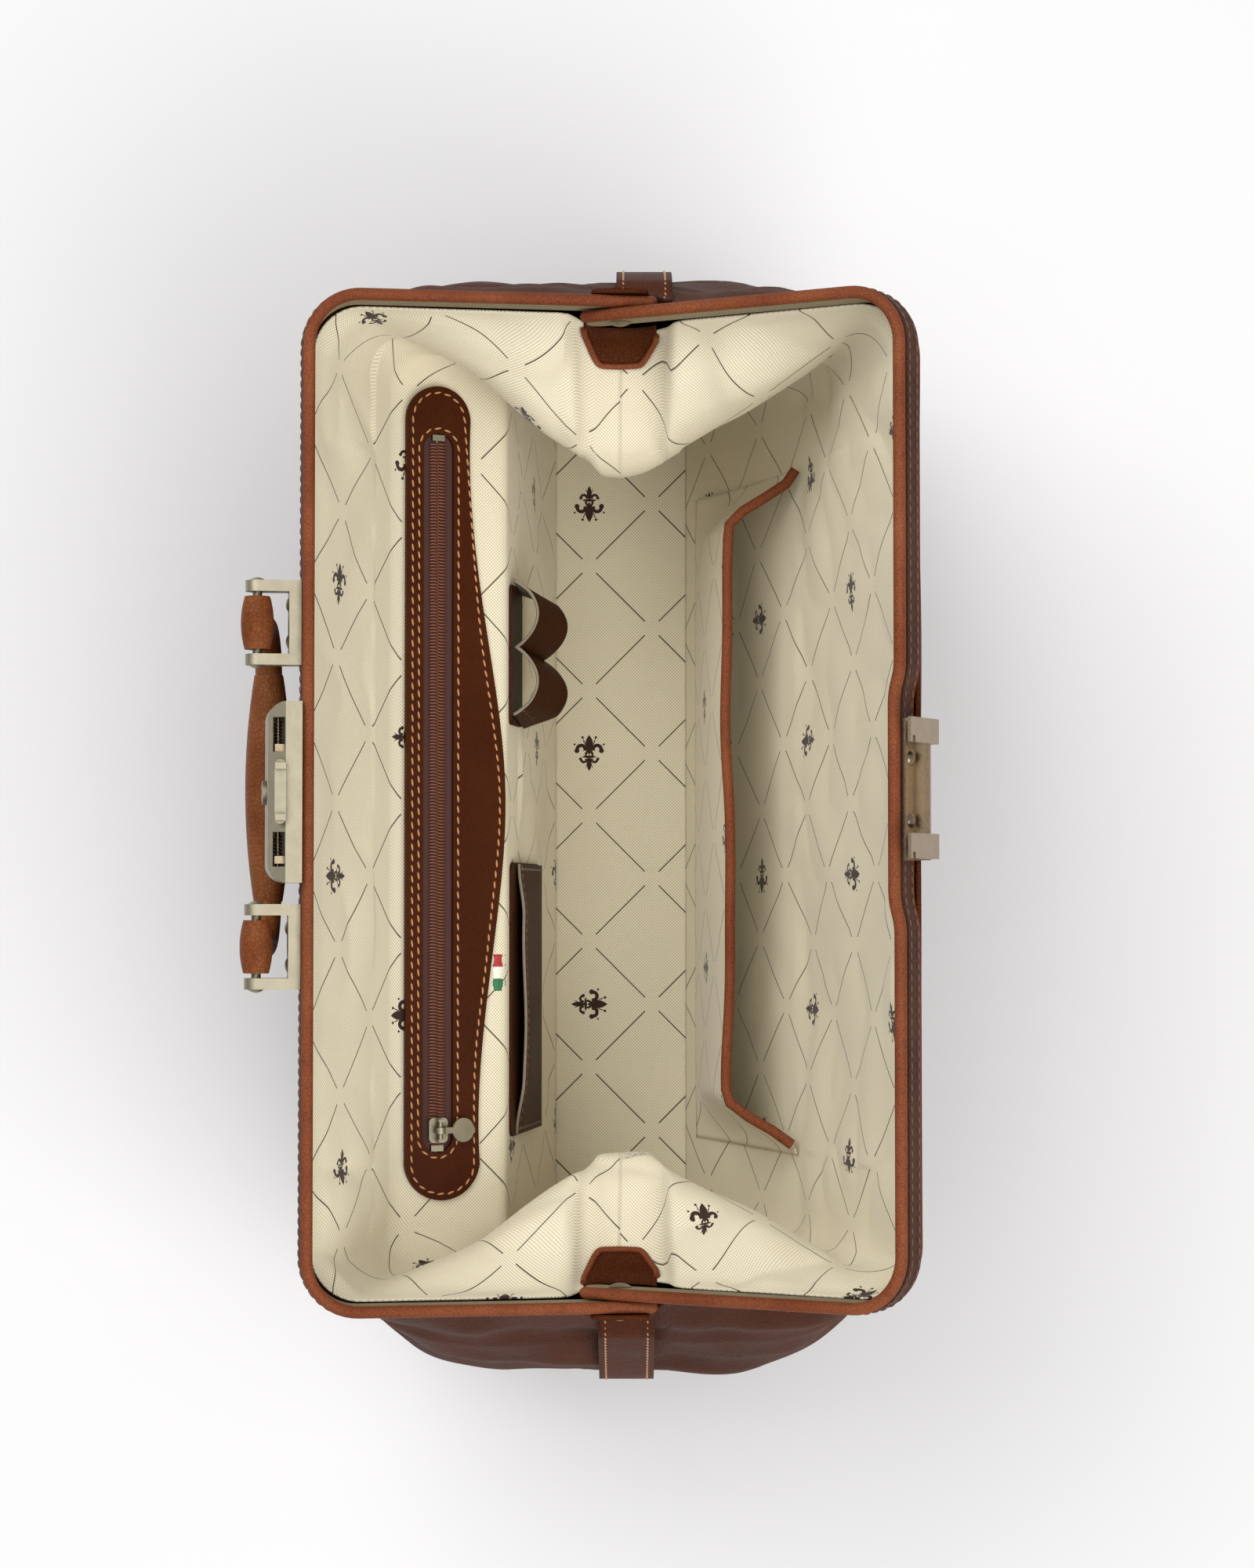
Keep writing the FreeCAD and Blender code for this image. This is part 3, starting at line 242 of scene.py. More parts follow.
def metal_group():
    """Cast or plated metal with soft handling marks."""
    group, n, given, out = new_group("Metal", "ShaderNodeTree", [
        ("Colour", COLOUR, (0.6, 0.5, 0.3, 1)), ("Tarnish", COLOUR, (0.2, 0.15, 0.08, 1)),
        ("Tarnish amount", NUMBER, 0.35), ("Roughness", NUMBER, 0.3)],
        [("Shader", "NodeSocketShader")])
    place = n.add("ShaderNodeTexCoord").outputs["Object"]
    broad = n.add("ShaderNodeTexNoise", {"Vector": place, "Scale": 120.0, "Detail": 5.0, "Roughness": 0.6})
    fine = n.add("ShaderNodeTexNoise", {"Vector": place, "Scale": 900.0, "Detail": 3.0})
    edge = n.add("ShaderNodeAmbientOcclusion", {"Distance": 0.003}, samples=4)
    hollow = n.minus(1.0, edge.outputs["AO"])
    marks = n.math("ADD", n.times(broad.outputs[0], 0.7), hollow)
    amount = n.math("MULTIPLY", marks, given["Tarnish amount"], clamp=True)
    tint = n.blend(amount, given["Colour"], given["Tarnish"])
    rough = n.math("ADD", given["Roughness"], n.times(n.minus(fine.outputs[0], 0.5), 0.2))
    bump = n.add("ShaderNodeBump", {"Strength": 0.12, "Distance": 0.0003, "Height": fine.outputs[0]})
    shader = n.add("ShaderNodeBsdfPrincipled", {"Base Color": tint, "Roughness": rough, "Metallic": 1.0,
                                                "Normal": bump})
    n.put(out, shader)
    return group


def weave_group():
    """Dotted lining cloth with a printed lily and a broken diamond lattice.

    It reads the piece's flat coordinates, in metres, from the UV map.
    """
    group, n, given, out = new_group("Lining weave", "ShaderNodeTree", [
        ("Ground", COLOUR, srgb("ebe3ca")), ("Dot colour", COLOUR, srgb("ab9f84")),
        ("Ornament colour", COLOUR, srgb("35231b")), ("Dot pitch", NUMBER, 1.35),
        ("Lattice", NUMBER, 39.0), ("Ornament size", NUMBER, 1.15)],
        [("Shader", "NodeSocketShader")])
    uv = n.add("ShaderNodeUVMap", uv_map="Flat").outputs[0]
    flat = n.add("ShaderNodeVectorMath", {0: uv, "Scale": 1000.0}, operation="SCALE").outputs[0]
    parts = n.split(flat)
    # dots stand in a diagonal lattice
    dots = None
    for shift in (0.0, 0.5):
        a, b = (n.minus(n.math("FRACT", n.math("ADD", n.math("DIVIDE", parts[axis], given["Dot pitch"]), shift)), 0.5)
                for axis in (0, 1))
        distance = n.math("SQRT", n.math("ADD", n.times(a, a), n.times(b, b)))
        dot = n.fade(distance, 0.33, 0.15)
        dots = dot if dots is None else n.math("MAXIMUM", dots, dot)
    # the lattice runs at 45 degrees
    lattice = given["Lattice"]
    slanted = n.split(n.add("ShaderNodeVectorRotate", {"Vector": flat, "Angle": math.radians(45)},
                            rotation_type="Z_AXIS"))
    index, local = [], []
    for axis in (0, 1):
        steps = n.math("DIVIDE", slanted[axis], lattice)
        index.append(n.math("FLOOR", steps))
        local.append(n.times(n.minus(n.math("FRACT", steps), 0.5), lattice))
    ink = None

    def add_ink(shape, amount=1.0):
        nonlocal ink
        shape = n.times(shape, amount)
        ink = shape if ink is None else n.math("MAXIMUM", ink, shape)

    for axis in (0, 1):
        to_edge = n.minus(n.times(lattice, 0.5), n.math("ABSOLUTE", local[axis]))
        line = n.fade(to_edge, 0.38, 0.20)
        short = n.math("LESS_THAN", n.math("ABSOLUTE", local[1 - axis]), n.times(lattice, 0.39))
        add_ink(n.times(line, short), 0.9)
    # one cell in four carries the lily, each turned its own way
    even = [n.math("LESS_THAN", n.math("FLOORED_MODULO", i, 2.0), 0.5) for i in index]
    here = n.times(even[0], even[1])
    cell = n.add("ShaderNodeCombineXYZ", {0: index[0], 1: index[1], 2: 3.7})
    chance = n.add("ShaderNodeTexWhiteNoise", {"Vector": cell}, noise_dimensions="3D").outputs["Value"]
    turn = n.times(n.math("FLOOR", n.times(chance, 4.0)), math.pi / 2)
    turn = n.math("ADD", turn, math.radians(45))
    spot = n.add("ShaderNodeCombineXYZ", {0: local[0], 1: local[1]})
    turned = n.split(n.add("ShaderNodeVectorRotate", {"Vector": spot, "Angle": turn}, rotation_type="Z_AXIS"))
    size = given["Ornament size"]
    # the lily is the same on both sides of its upright, so only one side is drawn
    side = n.math("DIVIDE", n.math("ABSOLUTE", turned[0]), size)
    up = n.math("DIVIDE", turned[1], size)
    motif = n.add("ShaderNodeCombineXYZ", {0: side, 1: up})

    def petal(cx, cy, half_width, half_length, angle):
        """A petal pointed at both ends."""
        moved = n.add("ShaderNodeVectorMath", {0: motif, 1: (cx, cy, 0)}, operation="SUBTRACT").outputs[0]
        spun = n.split(n.add("ShaderNodeVectorRotate", {"Vector": moved, "Angle": math.radians(-angle)},
                             rotation_type="Z_AXIS"))
        high = n.math("DIVIDE", spun[1], half_length)
        wide = n.times(n.minus(1.0, n.times(high, high)), half_width)
        inside = n.minus(wide, n.math("ABSOLUTE", spun[0]))
        return n.fade(inside, -0.05, 0.12)

    def disc(cx, cy, radius):
        away = n.add("ShaderNodeVectorMath", {0: motif, 1: (cx, cy, 0)}, operation="DISTANCE").outputs["Value"]
        return n.fade(away, radius + 0.08, radius - 0.08)

    def arc(cx, cy, outer, inner, level, above):
        """A ring's upper or lower part."""
        ring = n.times(disc(cx, cy, outer), n.minus(1.0, disc(cx, cy, inner)))
        return n.times(ring, n.math("GREATER_THAN" if above else "LESS_THAN", up, level))

    lily = petal(0, 3.2, 1.6, 3.9, 0)
    for shape in (arc(3.05, 1.5, 2.2, 0.85, 1.0, True), disc(4.7, 1.0, 0.95), petal(1.15, -0.1, 0.5, 1.5, 18),
                  petal(2.0, 4.5, 0.24, 1.6, -18), disc(2.55, 6.1, 0.5), disc(5.6, 3.4, 0.4),
                  petal(0, -1.35, 2.7, 0.6, 0),
                  petal(0, -4.0, 1.0, 2.9, 0), arc(2.05, -2.3, 1.55, 0.6, -2.0, False), disc(3.3, -2.2, 0.6),
                  petal(1.1, -4.9, 0.18, 1.1, 20)):
        lily = n.math("MAXIMUM", lily, shape)
    add_ink(n.times(lily, here))
    broad = n.add("ShaderNodeTexNoise", {"Vector": flat, "Scale": 0.02, "Detail": 3.0})
    ground = n.blend(n.times(dots, 0.8), given["Ground"], given["Dot colour"])
    ground = n.blend(n.times(broad.outputs[0], 0.22), ground, srgb("c8b99a"))
    tint = n.blend(ink, ground, given["Ornament colour"])
    bump = n.add("ShaderNodeBump", {"Strength": 0.3, "Distance": 0.0003, "Height": n.times(dots, -0.7)})
    shader = n.add("ShaderNodeBsdfPrincipled", {"Base Color": tint, "Roughness": 0.8, "Normal": bump,
                                                "Specular IOR Level": 0.2, "Sheen Weight": 0.2, "Sheen Roughness": 0.5})
    n.put(out, shader)
    return group


LEATHER = leather_group()
METAL = metal_group()
WEAVE = weave_group()


def make_material(name, group, **values):
    """A material that is one group node. Colours are given as hex codes."""
    material = bpy.data.materials.new(name)
    material.use_nodes = True
    material.node_tree.nodes.clear()
    n = Nodes(material.node_tree)
    node = n.add("ShaderNodeGroup")
    node.node_tree = group
    for key, value in values.items():
        label = key.replace("_", " ").capitalize()
        node.inputs[label].default_value = srgb(value) if isinstance(value, str) else value
    n.put(n.add("ShaderNodeOutputMaterial").inputs[0], node)
    return material


def plain_material(name, colour, roughness, sheen=0.0):
    material = bpy.data.materials.new(name)
    material.use_nodes = True
    shader = material.node_tree.nodes["Principled BSDF"]
    shader.inputs["Base Color"].default_value = srgb(colour)
    shader.inputs["Roughness"].default_value = roughness
    shader.inputs["Sheen Weight"].default_value = sheen
    return material


def leather(name, colour, worn, grain_size, grain_depth, crease_depth, roughness):
    return make_material(name, LEATHER, colour=colour, worn_colour=worn, grain_size=grain_size,
                         grain_depth=grain_depth, crease_depth=crease_depth, roughness=roughness)


def metal(name, colour, tarnish, tarnish_amount, roughness):
    return make_material(name, METAL, colour=colour, tarnish=tarnish, tarnish_amount=tarnish_amount,
                         roughness=roughness)


BODY = leather("Body leather", "451f0a", "5a2c12", 1.5, 0.5, 0.35, 0.5)
COVER = leather("Frame cover leather", "45291d", "5f4030", 1.1, 0.3, 0.25, 0.55)
EDGE = leather("Edge leather", "743c24", "925637", 1.2, 0.3, 0.6, 0.48)
HANDLE = leather("Handle leather", "683419", "a0663c", 1.6, 0.35, 0.4, 0.4)
PANEL = leather("Panel leather", "3f1a05", "4b220a", 0.9, 0.18, 0.2, 0.42)
POCKET = leather("Pocket leather", "351a0a", "452510", 1.0, 0.25, 0.3, 0.5)
FACING = leather("Facing leather", "8f8269", "a39679", 0.9, 0.15, 0.3, 0.7)
SUEDE = leather("Suede side", "8b8170", "a09480", 0.5, 0.4, 0.3, 0.9)
BRASS = metal("Satin brass", "a79f8a", "4e4636", 0.6, 0.46)
NICKEL = metal("Plated steel", "a29078", "4a4238", 0.5, 0.3)
STEEL = metal("Frame steel", "8c8c8c", "4c4844", 0.4, 0.45)
LINING = make_material("Lining cloth", WEAVE)
TAPE = plain_material("Zip tape", "42231a", 0.85, sheen=0.3)
COIL = plain_material("Zip coil", "683828", 0.35)
THREAD = plain_material("Thread", "b67e4c", 0.6, sheen=0.3)
DARK_THREAD = plain_material("Dark thread", "5a3524", 0.65, sheen=0.3)
BOARD = plain_material("Board", "9c8565", 0.9)

# ---------------- mesh helpers
def mesh_object(name, points, faces, material, uvs=None):
    """A mesh from points in millimetres. uvs, one per point in metres, become the flat cloth coordinates."""
    mesh = bpy.data.meshes.new(name)
    mesh.from_pydata([Vector(p) * MM for p in points], [], faces)
    mesh.validate()
    if uvs:
        layer = mesh.uv_layers.new(name="Flat")
        for loop in mesh.loops:
            layer.data[loop.index].uv = uvs[loop.vertex_index]
    for face in mesh.polygons:
        face.use_smooth = True
    mesh.materials.append(material)
    return new_object(name, mesh)


def grid_faces(rows, columns, flip=False):
    """Quads of a grid stored row by row."""
    faces = []
    for r in range(rows - 1):
        for c in range(columns - 1):
            a = r * columns + c
            quad = (a, a + 1, a + columns + 1, a + columns)
            faces.append(quad[::-1] if flip else quad)
    return faces


def upright_faces(columns, rows, flip=False):
    """Quads of a grid stored column by column."""
    faces = []
    for c in range(columns - 1):
        for r in range(rows - 1):
            a = c * rows + r
            quad = (a, a + rows, a + rows + 1, a + 1)
            faces.append(quad[::-1] if flip else quad)
    return faces


def new_object(name, data):
    obj = bpy.data.objects.new(name, data)
    bpy.context.collection.objects.link(obj)
    return obj


def bake(obj):
    """Applies an object's modifiers, so that the finished piece is a plain mesh."""
    bpy.context.view_layer.update()
    result = bpy.data.meshes.new_from_object(obj.evaluated_get(bpy.context.evaluated_depsgraph_get()))
    name = obj.name
    result.name = name
    obj.modifiers.clear()
    if isinstance(obj.data, bpy.types.Mesh):
        obj.data = result
        return obj
    bpy.data.objects.remove(obj)
    return new_object(name, result)


def thicken(obj, thickness, offset, other_side=None):
    """Gives a sheet its thickness, in millimetres, and perhaps another material on its other side, and bakes it."""
    modifier = obj.modifiers.new("Thickness", "SOLIDIFY")
    modifier.thickness = thickness * MM
    modifier.offset = offset
    modifier.use_even_offset = False
    if other_side:
        obj.data.materials.append(other_side)
        modifier.material_offset = 1
    bake(obj)


def carried(obj, *nodes, body="bag_body"):
    """The finished piece rides on a body and stands for the nodes."""
    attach(obj, body)
    if nodes:
        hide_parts(*nodes)
    return obj


def follow_frame(obj):
    """A soft piece that hangs between the bag and one half of its frame. Its placement is baked into its mesh."""
    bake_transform(obj)

    return obj


def frame_height(y):
    """Height of the leather's upper edge, just under the frame's band, at a distance from the hinge line."""
    tilt = FRONT_TILT if y < 0 else BACK_TILT
    height = HINGE + BAND_LOW / math.cos(tilt) + abs(y) * math.tan(tilt)
    if abs(y) < NOTCH:
        height = min(height, HINGE - math.sqrt(NOTCH * NOTCH - y * y))
    return height


def ring_point(half_x, half_y, radius, t):
    """A point on the half of a rounded rectangle on the +y side, t from 0 at +x to 1 at -x."""
    straight_y = half_y - radius
    arc = math.pi / 2 * radius
    straight_x = half_x - radius
    total = 2 * (straight_y + arc + straight_x)
    run = t * total
    sign = 1.0
    if run > total / 2:
        run, sign = total - run, -1.0
    if run < straight_y:
        return sign * half_x, run
    run -= straight_y
    if run < arc:
        angle = run / radius
        return sign * (half_x - radius + radius * math.cos(angle)), half_y - radius + radius * math.sin(angle)
    run -= arc
    return sign * (straight_x - run), half_y


# ---------------- body leather, one half on each side of the hinge line
BULGE_X = [(8.7, 203), (60, 214), (110, 222), (160, 210), (204, 193), (222, 192), (262, 189.8), (280, 189.5)]
BULGE_FRONT = [(8.7, 100), (60, 112), (110, 120), (160, 120.6), (204, 120.2), (222, 119), (262, 111), (280, 106)]
BULGE_BACK = [(8.7, 100), (60, 107), (110, 112), (160, 112.6), (204, 113.2), (222, 113.4), (262, 110.4), (280, 106)]
BULGE_R = [(8.7, 40), (60, 56), (110, 74), (160, 58), (204, 24), (222, 22), (262, 22), (280, 22)]


def end_sag(x, z):
    """How strongly the slack ends bulge at a place, 0 to 1."""
    return math.exp(-((z - BULGE_HEIGHT) / 48) ** 2) * smooth((abs(x) - 150) / 60)


def body_point(side, t, z):
    """A point of the body's outer face at a height."""
    half_x = spline(BULGE_X, z)
    if side > 0:
        half_x -= 3.2 * smooth((z - 175) / 30)
    front, back = spline(BULGE_FRONT, z), spline(BULGE_BACK, z)
    x, y = ring_point(half_x, front if side < 0 else back, spline(BULGE_R, z), t)
    x += end_sag(x, z) * (7.0 if x > 0 else 6.0)
    return x, side * y


def build_body(side):
    columns, rows = 300, 72
    points = []
    for c in range(columns):
        t = c / (columns - 1)
        top = 212.0
        for _ in range(6):
            top = frame_height(body_point(side, t, top)[1])
        for r in range(rows):
            h = r / (rows - 1)
            h = h + 0.10 * math.sin(math.pi * h) * (1 - h)
            z = mix(8.75, top, h)
            x, y = body_point(side, t, z)
            outward = Vector((x / 230, y / 122, 0)).normalized()
            free = smooth(h / 0.12) * smooth((1 - h) / 0.16)
            end = smooth((abs(x) - 165) / 35)
            wave = noise.noise(Vector((x * 0.012, y * 0.016, z * 0.022))) * 3.0
            fold = noise.noise(Vector((x * 0.02, y * 0.045, z * 0.035 + 4))) * 2.6 * end
            crease = -1.8 * end * max(0.0, math.sin(z * 0.16 + 1.2 * noise.noise(Vector((y * 0.02, z * 0.01, 9)))))
            seam = -0.9 * math.exp(-((abs(x) - 178) / 1.3) ** 2) if h > 0.02 else 0.0
            push = free * (wave + fold + crease * smooth((h - 0.35) / 0.3)) + seam
            points.append((x + outward.x * push, y + outward.y * push, z))
    name = "Body_leather_front" if side < 0 else "Body_leather_back"
    obj = mesh_object(name, points, upright_faces(columns, rows, side < 0), BODY)
    thicken(obj, 1.9, -1.0)
    return follow_frame(obj)


BODY_FRONT = build_body(-1)
BODY_BACK = build_body(1)
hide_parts("body_front_panel")
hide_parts("body_back_panel", "body_gusset_left", "body_gusset_right")

# ---------------- lining: a slack bowl from the frame down to the floor
# each table is (share of the height, distance from the middle)
FRONT_SHARE = [(0.0, 28.5), (0.582, 45.7), (0.594, 47.2), (0.675, 88.3), (0.693, 91.6), (0.85, 104.2), (1.0, 116.2)]
BACK_SHARE = [(0.0, 28.5), (0.20, 50.0), (0.479, 74.0), (0.70, 88.0), (1.0, 106.0)]
# how far the slack end walls fold inwards, by share of the height and by distance from the hinge line
FOLD_DEPTH = [(0.0, 0.0), (0.325, 22.5), (0.587, 37.0), (0.74, 44.5), (0.80, 45.0), (0.86, 37.5), (0.906, 23.5),
              (0.955, 6.0), (1.0, 0.0)]
FOLD_FRONT = [(0, 1.0), (12, 0.97), (31, 0.80), (50, 0.56), (64, 0.36), (80, 0.19), (100, 0.05), (118, 0.0)]
FOLD_BACK = [(0, 1.0), (14, 0.95), (31, 0.80), (50, 0.63), (68, 0.47), (86, 0.28), (98, 0.10), (110, 0.0)]
LINING_LOW = 13.0


def lining_point(side, t, share):
    """A point of the lining's inner face: t runs round one half, share is 1 at the frame and 0 at the floor."""
    half_y = LINING_REACH[side]
    x_top, y_top = ring_point(LINING_HALF, half_y, LINING_CORNER, t)
    part = y_top / half_y
    table = FRONT_SHARE if side < 0 else BACK_SHARE
    y = part * along(table, share)
    droop = spline(FOLD_FRONT if side < 0 else FOLD_BACK, y_top)
    if side < 0:
        droop *= 1 - 0.4 * smooth((y_top - 45) / 25) * smooth((0.80 - share) / 0.06)
    droop *= 1.10 if x_top < 0 else 0.97
    wide = LINING_HALF + (4.9 if side < 0 else 0.5) * smooth((y_top - 9) / 9)
    straight = mix(176.0, wide, share)
    fold = spline(FOLD_DEPTH, share) * droop * smooth((abs(x_top) - 120) / 60)
    x = x_top / LINING_HALF * straight - math.copysign(fold, x_top)
    top = frame_height(side * y_top) + 2.0 * smooth((y_top - NOTCH) / 4)
    z = LINING_LOW + (top - LINING_LOW) * share
    return x, side * y, z


def lining_rumple(p, share):
    """How far the slack cloth stands in from its mean place. It is the same on both sides of the hinge line."""
    x, y, z = p
    free = smooth(share / 0.06) * smooth((1 - share) / 0.05)
    free *= 1 - smooth((24 - abs(y)) / 6) * smooth((z - 166) / 8)
    if y < -42 and share < 0.76:
        free *= smooth((abs(x - ZIP_X) - 166) / 12)
    free *= 1 - 0.5 * smooth((y - 20) / 15) * smooth((130 - z) / 12)
    wave = noise.noise(Vector((x * 0.015, y * 0.02, z * 0.018))) * 3.2
    fold = abs(noise.noise(Vector((x * 0.03 + 5, y * 0.012, z * 0.03)))) * 4.5 - 0.8
    end = smooth((abs(x) - 120) / 30) * smooth((share - 0.3) / 0.3)
    tuck = math.sin(y * 0.16 + 2.5 * noise.noise(Vector((x * 0.02, y * 0.02, 4)))) * 1.5 * end
    return free * (wave + fold * (0.5 + 0.9 * end) + tuck)


def lining_girth(side):
    """Length once round one half of the lining at the frame."""
    return 2 * (LINING_REACH[side] - LINING_CORNER + math.pi / 2 * LINING_CORNER + LINING_HALF - LINING_CORNER)


def build_lining(side):
    columns, rows = 330, 150
    points, uvs = [], []
    shift = 0.0 if side < 0 else 0.031
    girth = lining_girth(side)
    for c in range(columns):
        t = c / (columns - 1)
        run, last = 0.0, None
        for r in range(rows):
            share = r / (rows - 1)
            p = Vector(lining_point(side, t, share))
            if last is not None:
                run += (p - last).length
            last = p
            tilt = smooth(abs(p.y) / 30)
            inward = Vector((-p.x / 190 if abs(p.x) > 140 else 0.0, -side * 0.8 * tilt, 0.35)).normalized()
            points.append(p + inward * lining_rumple(p, share))
            uvs.append(((0.5 - t) * girth * MM, run * MM + shift))
    name = "Lining_front" if side < 0 else "Lining_back"
    obj = mesh_object(name, points, upright_faces(columns, rows, side > 0), LINING, uvs)
    thicken(obj, 0.8, -1.0)
    return follow_frame(obj)


LINING_FRONT = build_lining(-1)
LINING_BACK = build_lining(1)
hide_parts("lining_front")
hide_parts("lining_back", "lining_end_left", "lining_end_right")


def trim_place(end, y_top, share, off):
    """A point a distance off the lining near one end of the hinge line."""
    half = -1 if y_top < 0 else 1
    t = abs(y_top) / lining_girth(half)
    return Vector(lining_point(half, 1 - t if end < 0 else t, share)) + Vector((-end * off, 0, off * 0.4))


def trim_foot(y_top):
    """Where the patch ends, as a share of the lining's height: a broad U."""
    return 0.946 + 0.034 * max(0.0, (abs(y_top) - 7.0) / 7.0) ** 2.2


def build_hinge_trim(name, end):
    """The leather patch in the lining's notch under one hinge, with its bound edge."""
    columns, rows = 40, 14
    points = []
    for c in range(columns):
        y_top = mix(-14.0, 14.0, c / (columns - 1))
        foot = trim_foot(y_top)
        for r in range(rows):
            p = trim_place(end, y_top, mix(foot, 0.998, min(1.0, r / (rows - 3))), 1.0)
            points.append(p + Vector((end * 1.6, 0, 1.0)) * max(0, r - rows + 3))
    patch = mesh_object(name, points, upright_faces(columns, rows, end > 0), BODY)
    thicken(patch, 0.8, 0.0)
    carried(patch, name.lower())
    edge = [trim_place(end, y, trim_foot(y), 1.6) for y in range(-14, 15)]
    corners = [trim_place(end, y, 0.996, 1.6) for y in (-14.2, 14.2)]
    carried(tube(name + "_edge", corners[:1] + edge + corners[1:], 1.2, EDGE))


def build_floor():
    columns, rows = 120, 24
    points, uvs = [], []
    for r in range(rows):
        for c in range(columns):
            x = mix(-180, 180, c / (columns - 1))
            y = mix(-30, 30, r / (rows - 1))
            lift = 0.9 * smooth(1 - abs(y) / 30) * (0.6 + noise.noise(Vector((x * 0.02, y * 0.05, 2))))
            points.append((x, y, FLOOR_TOP + max(0.0, lift)))
            uvs.append((x * MM, y * MM + 0.4))
    obj = mesh_object("Lining_floor", points, grid_faces(rows, columns), LINING, uvs)
    thicken(obj, 0.8, -1.0)
    return carried(obj, "lining_floor")


FLOOR = build_floor()

# ---------------- back pocket
def build_back_pocket():
    low, high = ZIP_X + 7 - 139.0, ZIP_X + 7 + 139.0
    columns, rows = 150, 40
    points, uvs = [], []
    for r in range(rows):
        h = r / (rows - 1)
        for c in range(columns):
            f = c / (columns - 1)
            x = mix(low, high, f)
            edge = min(x - low, high - x)
            out = smooth(edge / 24.0)
            wall = along([(26, 34.0), (62, 49.5), (130, 73.0)], mix(26, 128, h)) - 0.8
            hang = mix(33.0, 44.0, h)
            sway = 1.6 * math.sin(x * 0.035 + 0.6) * h + noise.noise(Vector((x * 0.02, h * 2, 7))) * 2.2 * h
            y = mix(wall, hang + sway * 0.6 - 1.2 * math.sin(math.pi * h), out)
            z = mix(26, 127.4, h) + 0.8 * math.sin(x * 0.05) * h * out
            points.append((x, y, z))
            uvs.append((x * MM + 0.017, h * 0.105 + 0.013))
    obj = mesh_object("Back_pocket", points, grid_faces(rows, columns), LINING, uvs)
    thicken(obj, 0.8, 0.0)
    carried(obj, "back_pocket")
    track = [Vector(points[(rows - 1) * columns + c]) + Vector((0, -0.2, 1.2)) for c in range(0, columns, 3)]
    return obj, track


def tube(name, track, radius, material):
    """A round roll along points in millimetres."""
    curve = bpy.data.curves.new(name, "CURVE")
    curve.dimensions = "3D"
    curve.bevel_depth = radius * MM
    curve.bevel_resolution = 4
    curve.use_fill_caps = True
    line = curve.splines.new("POLY")
    line.points.add(len(track) - 1)
    for point, place in zip(line.points, track):
        point.co = (*(Vector(place) * MM), 1)
    curve.materials.append(material)
    made = bake(new_object(name, curve))
    for face in made.data.polygons:
        face.use_smooth = True
    return made


POCKET_SHEET, POCKET_TRACK = build_back_pocket()
BINDING = carried(tube("Back_pocket_binding", POCKET_TRACK, 2.1, EDGE), "back_pocket_binding")


# ---------------- card pocket, pen loops and ribbon
def card_place(x, s, off=0.0):
    """A point of the card pocket's front. It gapes a little at the mouth."""
    f, g = (x - CARD_LEFT) / CARD_LENGTH, (s - CARD_MOUTH) / CARD_DROP
    gape = 2.9 * (1 - g) ** 0.7 * smooth(f / 0.2) * smooth((1 - f) / 0.2)
    return wall_place(x, s, 2.3 + gape + 0.5 * math.sin(x * 0.09) * (1 - g) + off) / MM


def build_card_front():
    columns, rows = 60, 31
    points = [card_place(CARD_LEFT + CARD_LENGTH * c / (columns - 1), CARD_MOUTH + CARD_DROP * r / (rows - 1))
              for r in range(rows) for c in range(columns)]
    obj = mesh_object("Card_pocket_front", points, grid_faces(rows, columns, flip=True), SUEDE)
    thicken(obj, 1.2, 0.0, POCKET)
    carried(obj, "card_pocket_front")


build_card_front()
build_hinge_trim("Hinge_trim_left", -1)
build_hinge_trim("Hinge_trim_right", 1)


def build_strap(name, end):
    """The strap that hangs from one hinge and lies on the body's end."""
    columns, rows = 9, 60
    points = []
    for r in range(rows):
        g = r / (rows - 1)
        z = mix(120.0, 219.0, g)
        for c in range(columns):
            wide = 11.0 * (1.0 if g < 0.96 else math.sqrt(max(0.1, 1 - ((g - 0.96) / 0.04) ** 2)))
            y = mix(-wide, wide, c / (columns - 1)) + (2.5 if end > 0 else 9.5) * smooth((212 - z) / 24)
            level = min(z, 196.0)
            half_x = spline(BULGE_X, level)
            half_x += end_sag(half_x, level) * (7.0 if end > 0 else -6.0)
            face = FRONT_HALF + 0.35
            out = mix(half_x + 2.6, face, smooth((z - 178) / 18))
            points.append((end * max(out, face if z > 186 else 0.0), y, z))
    faces = grid_faces(rows, columns, flip=end < 0)
    obj = mesh_object(name, points, faces, BODY)
    thicken(obj, 1.7, 1.0)
    carried(obj, name.lower())
    return [[Vector(points[r * columns + c]) + Vector((end * 1.95, 0, 0)) for r in range(1, rows - 4)]
            for c in (1, columns - 2)]


STRAP_LINES = {-1: build_strap("Hinge_strap_left", -1), 1: build_strap("Hinge_strap_right", 1)}

# ---------------- stitches, one node group for every row
def spaced_points(n, given):
    """The given line, with points one pitch apart."""
    curve = n.add("GeometryNodeMeshToCurve", {0: given["Geometry"]})
    spaced = n.add("GeometryNodeResampleCurve", {"Curve": curve})
    if hasattr(spaced, "mode"):
        spaced.mode = "LENGTH"
    n.put(spaced.inputs["Length"], given["Pitch"])
    return spaced


def finish_copies(n, out, placed, material):
    """Turns the placed copies into one smooth mesh of one material."""
    real = n.add("GeometryNodeRealizeInstances", {0: placed})
    shaded = n.add("GeometryNodeSetShadeSmooth", {0: real})
    n.put(out, n.add("GeometryNodeSetMaterial", {"Geometry": shaded, "Material": material}))


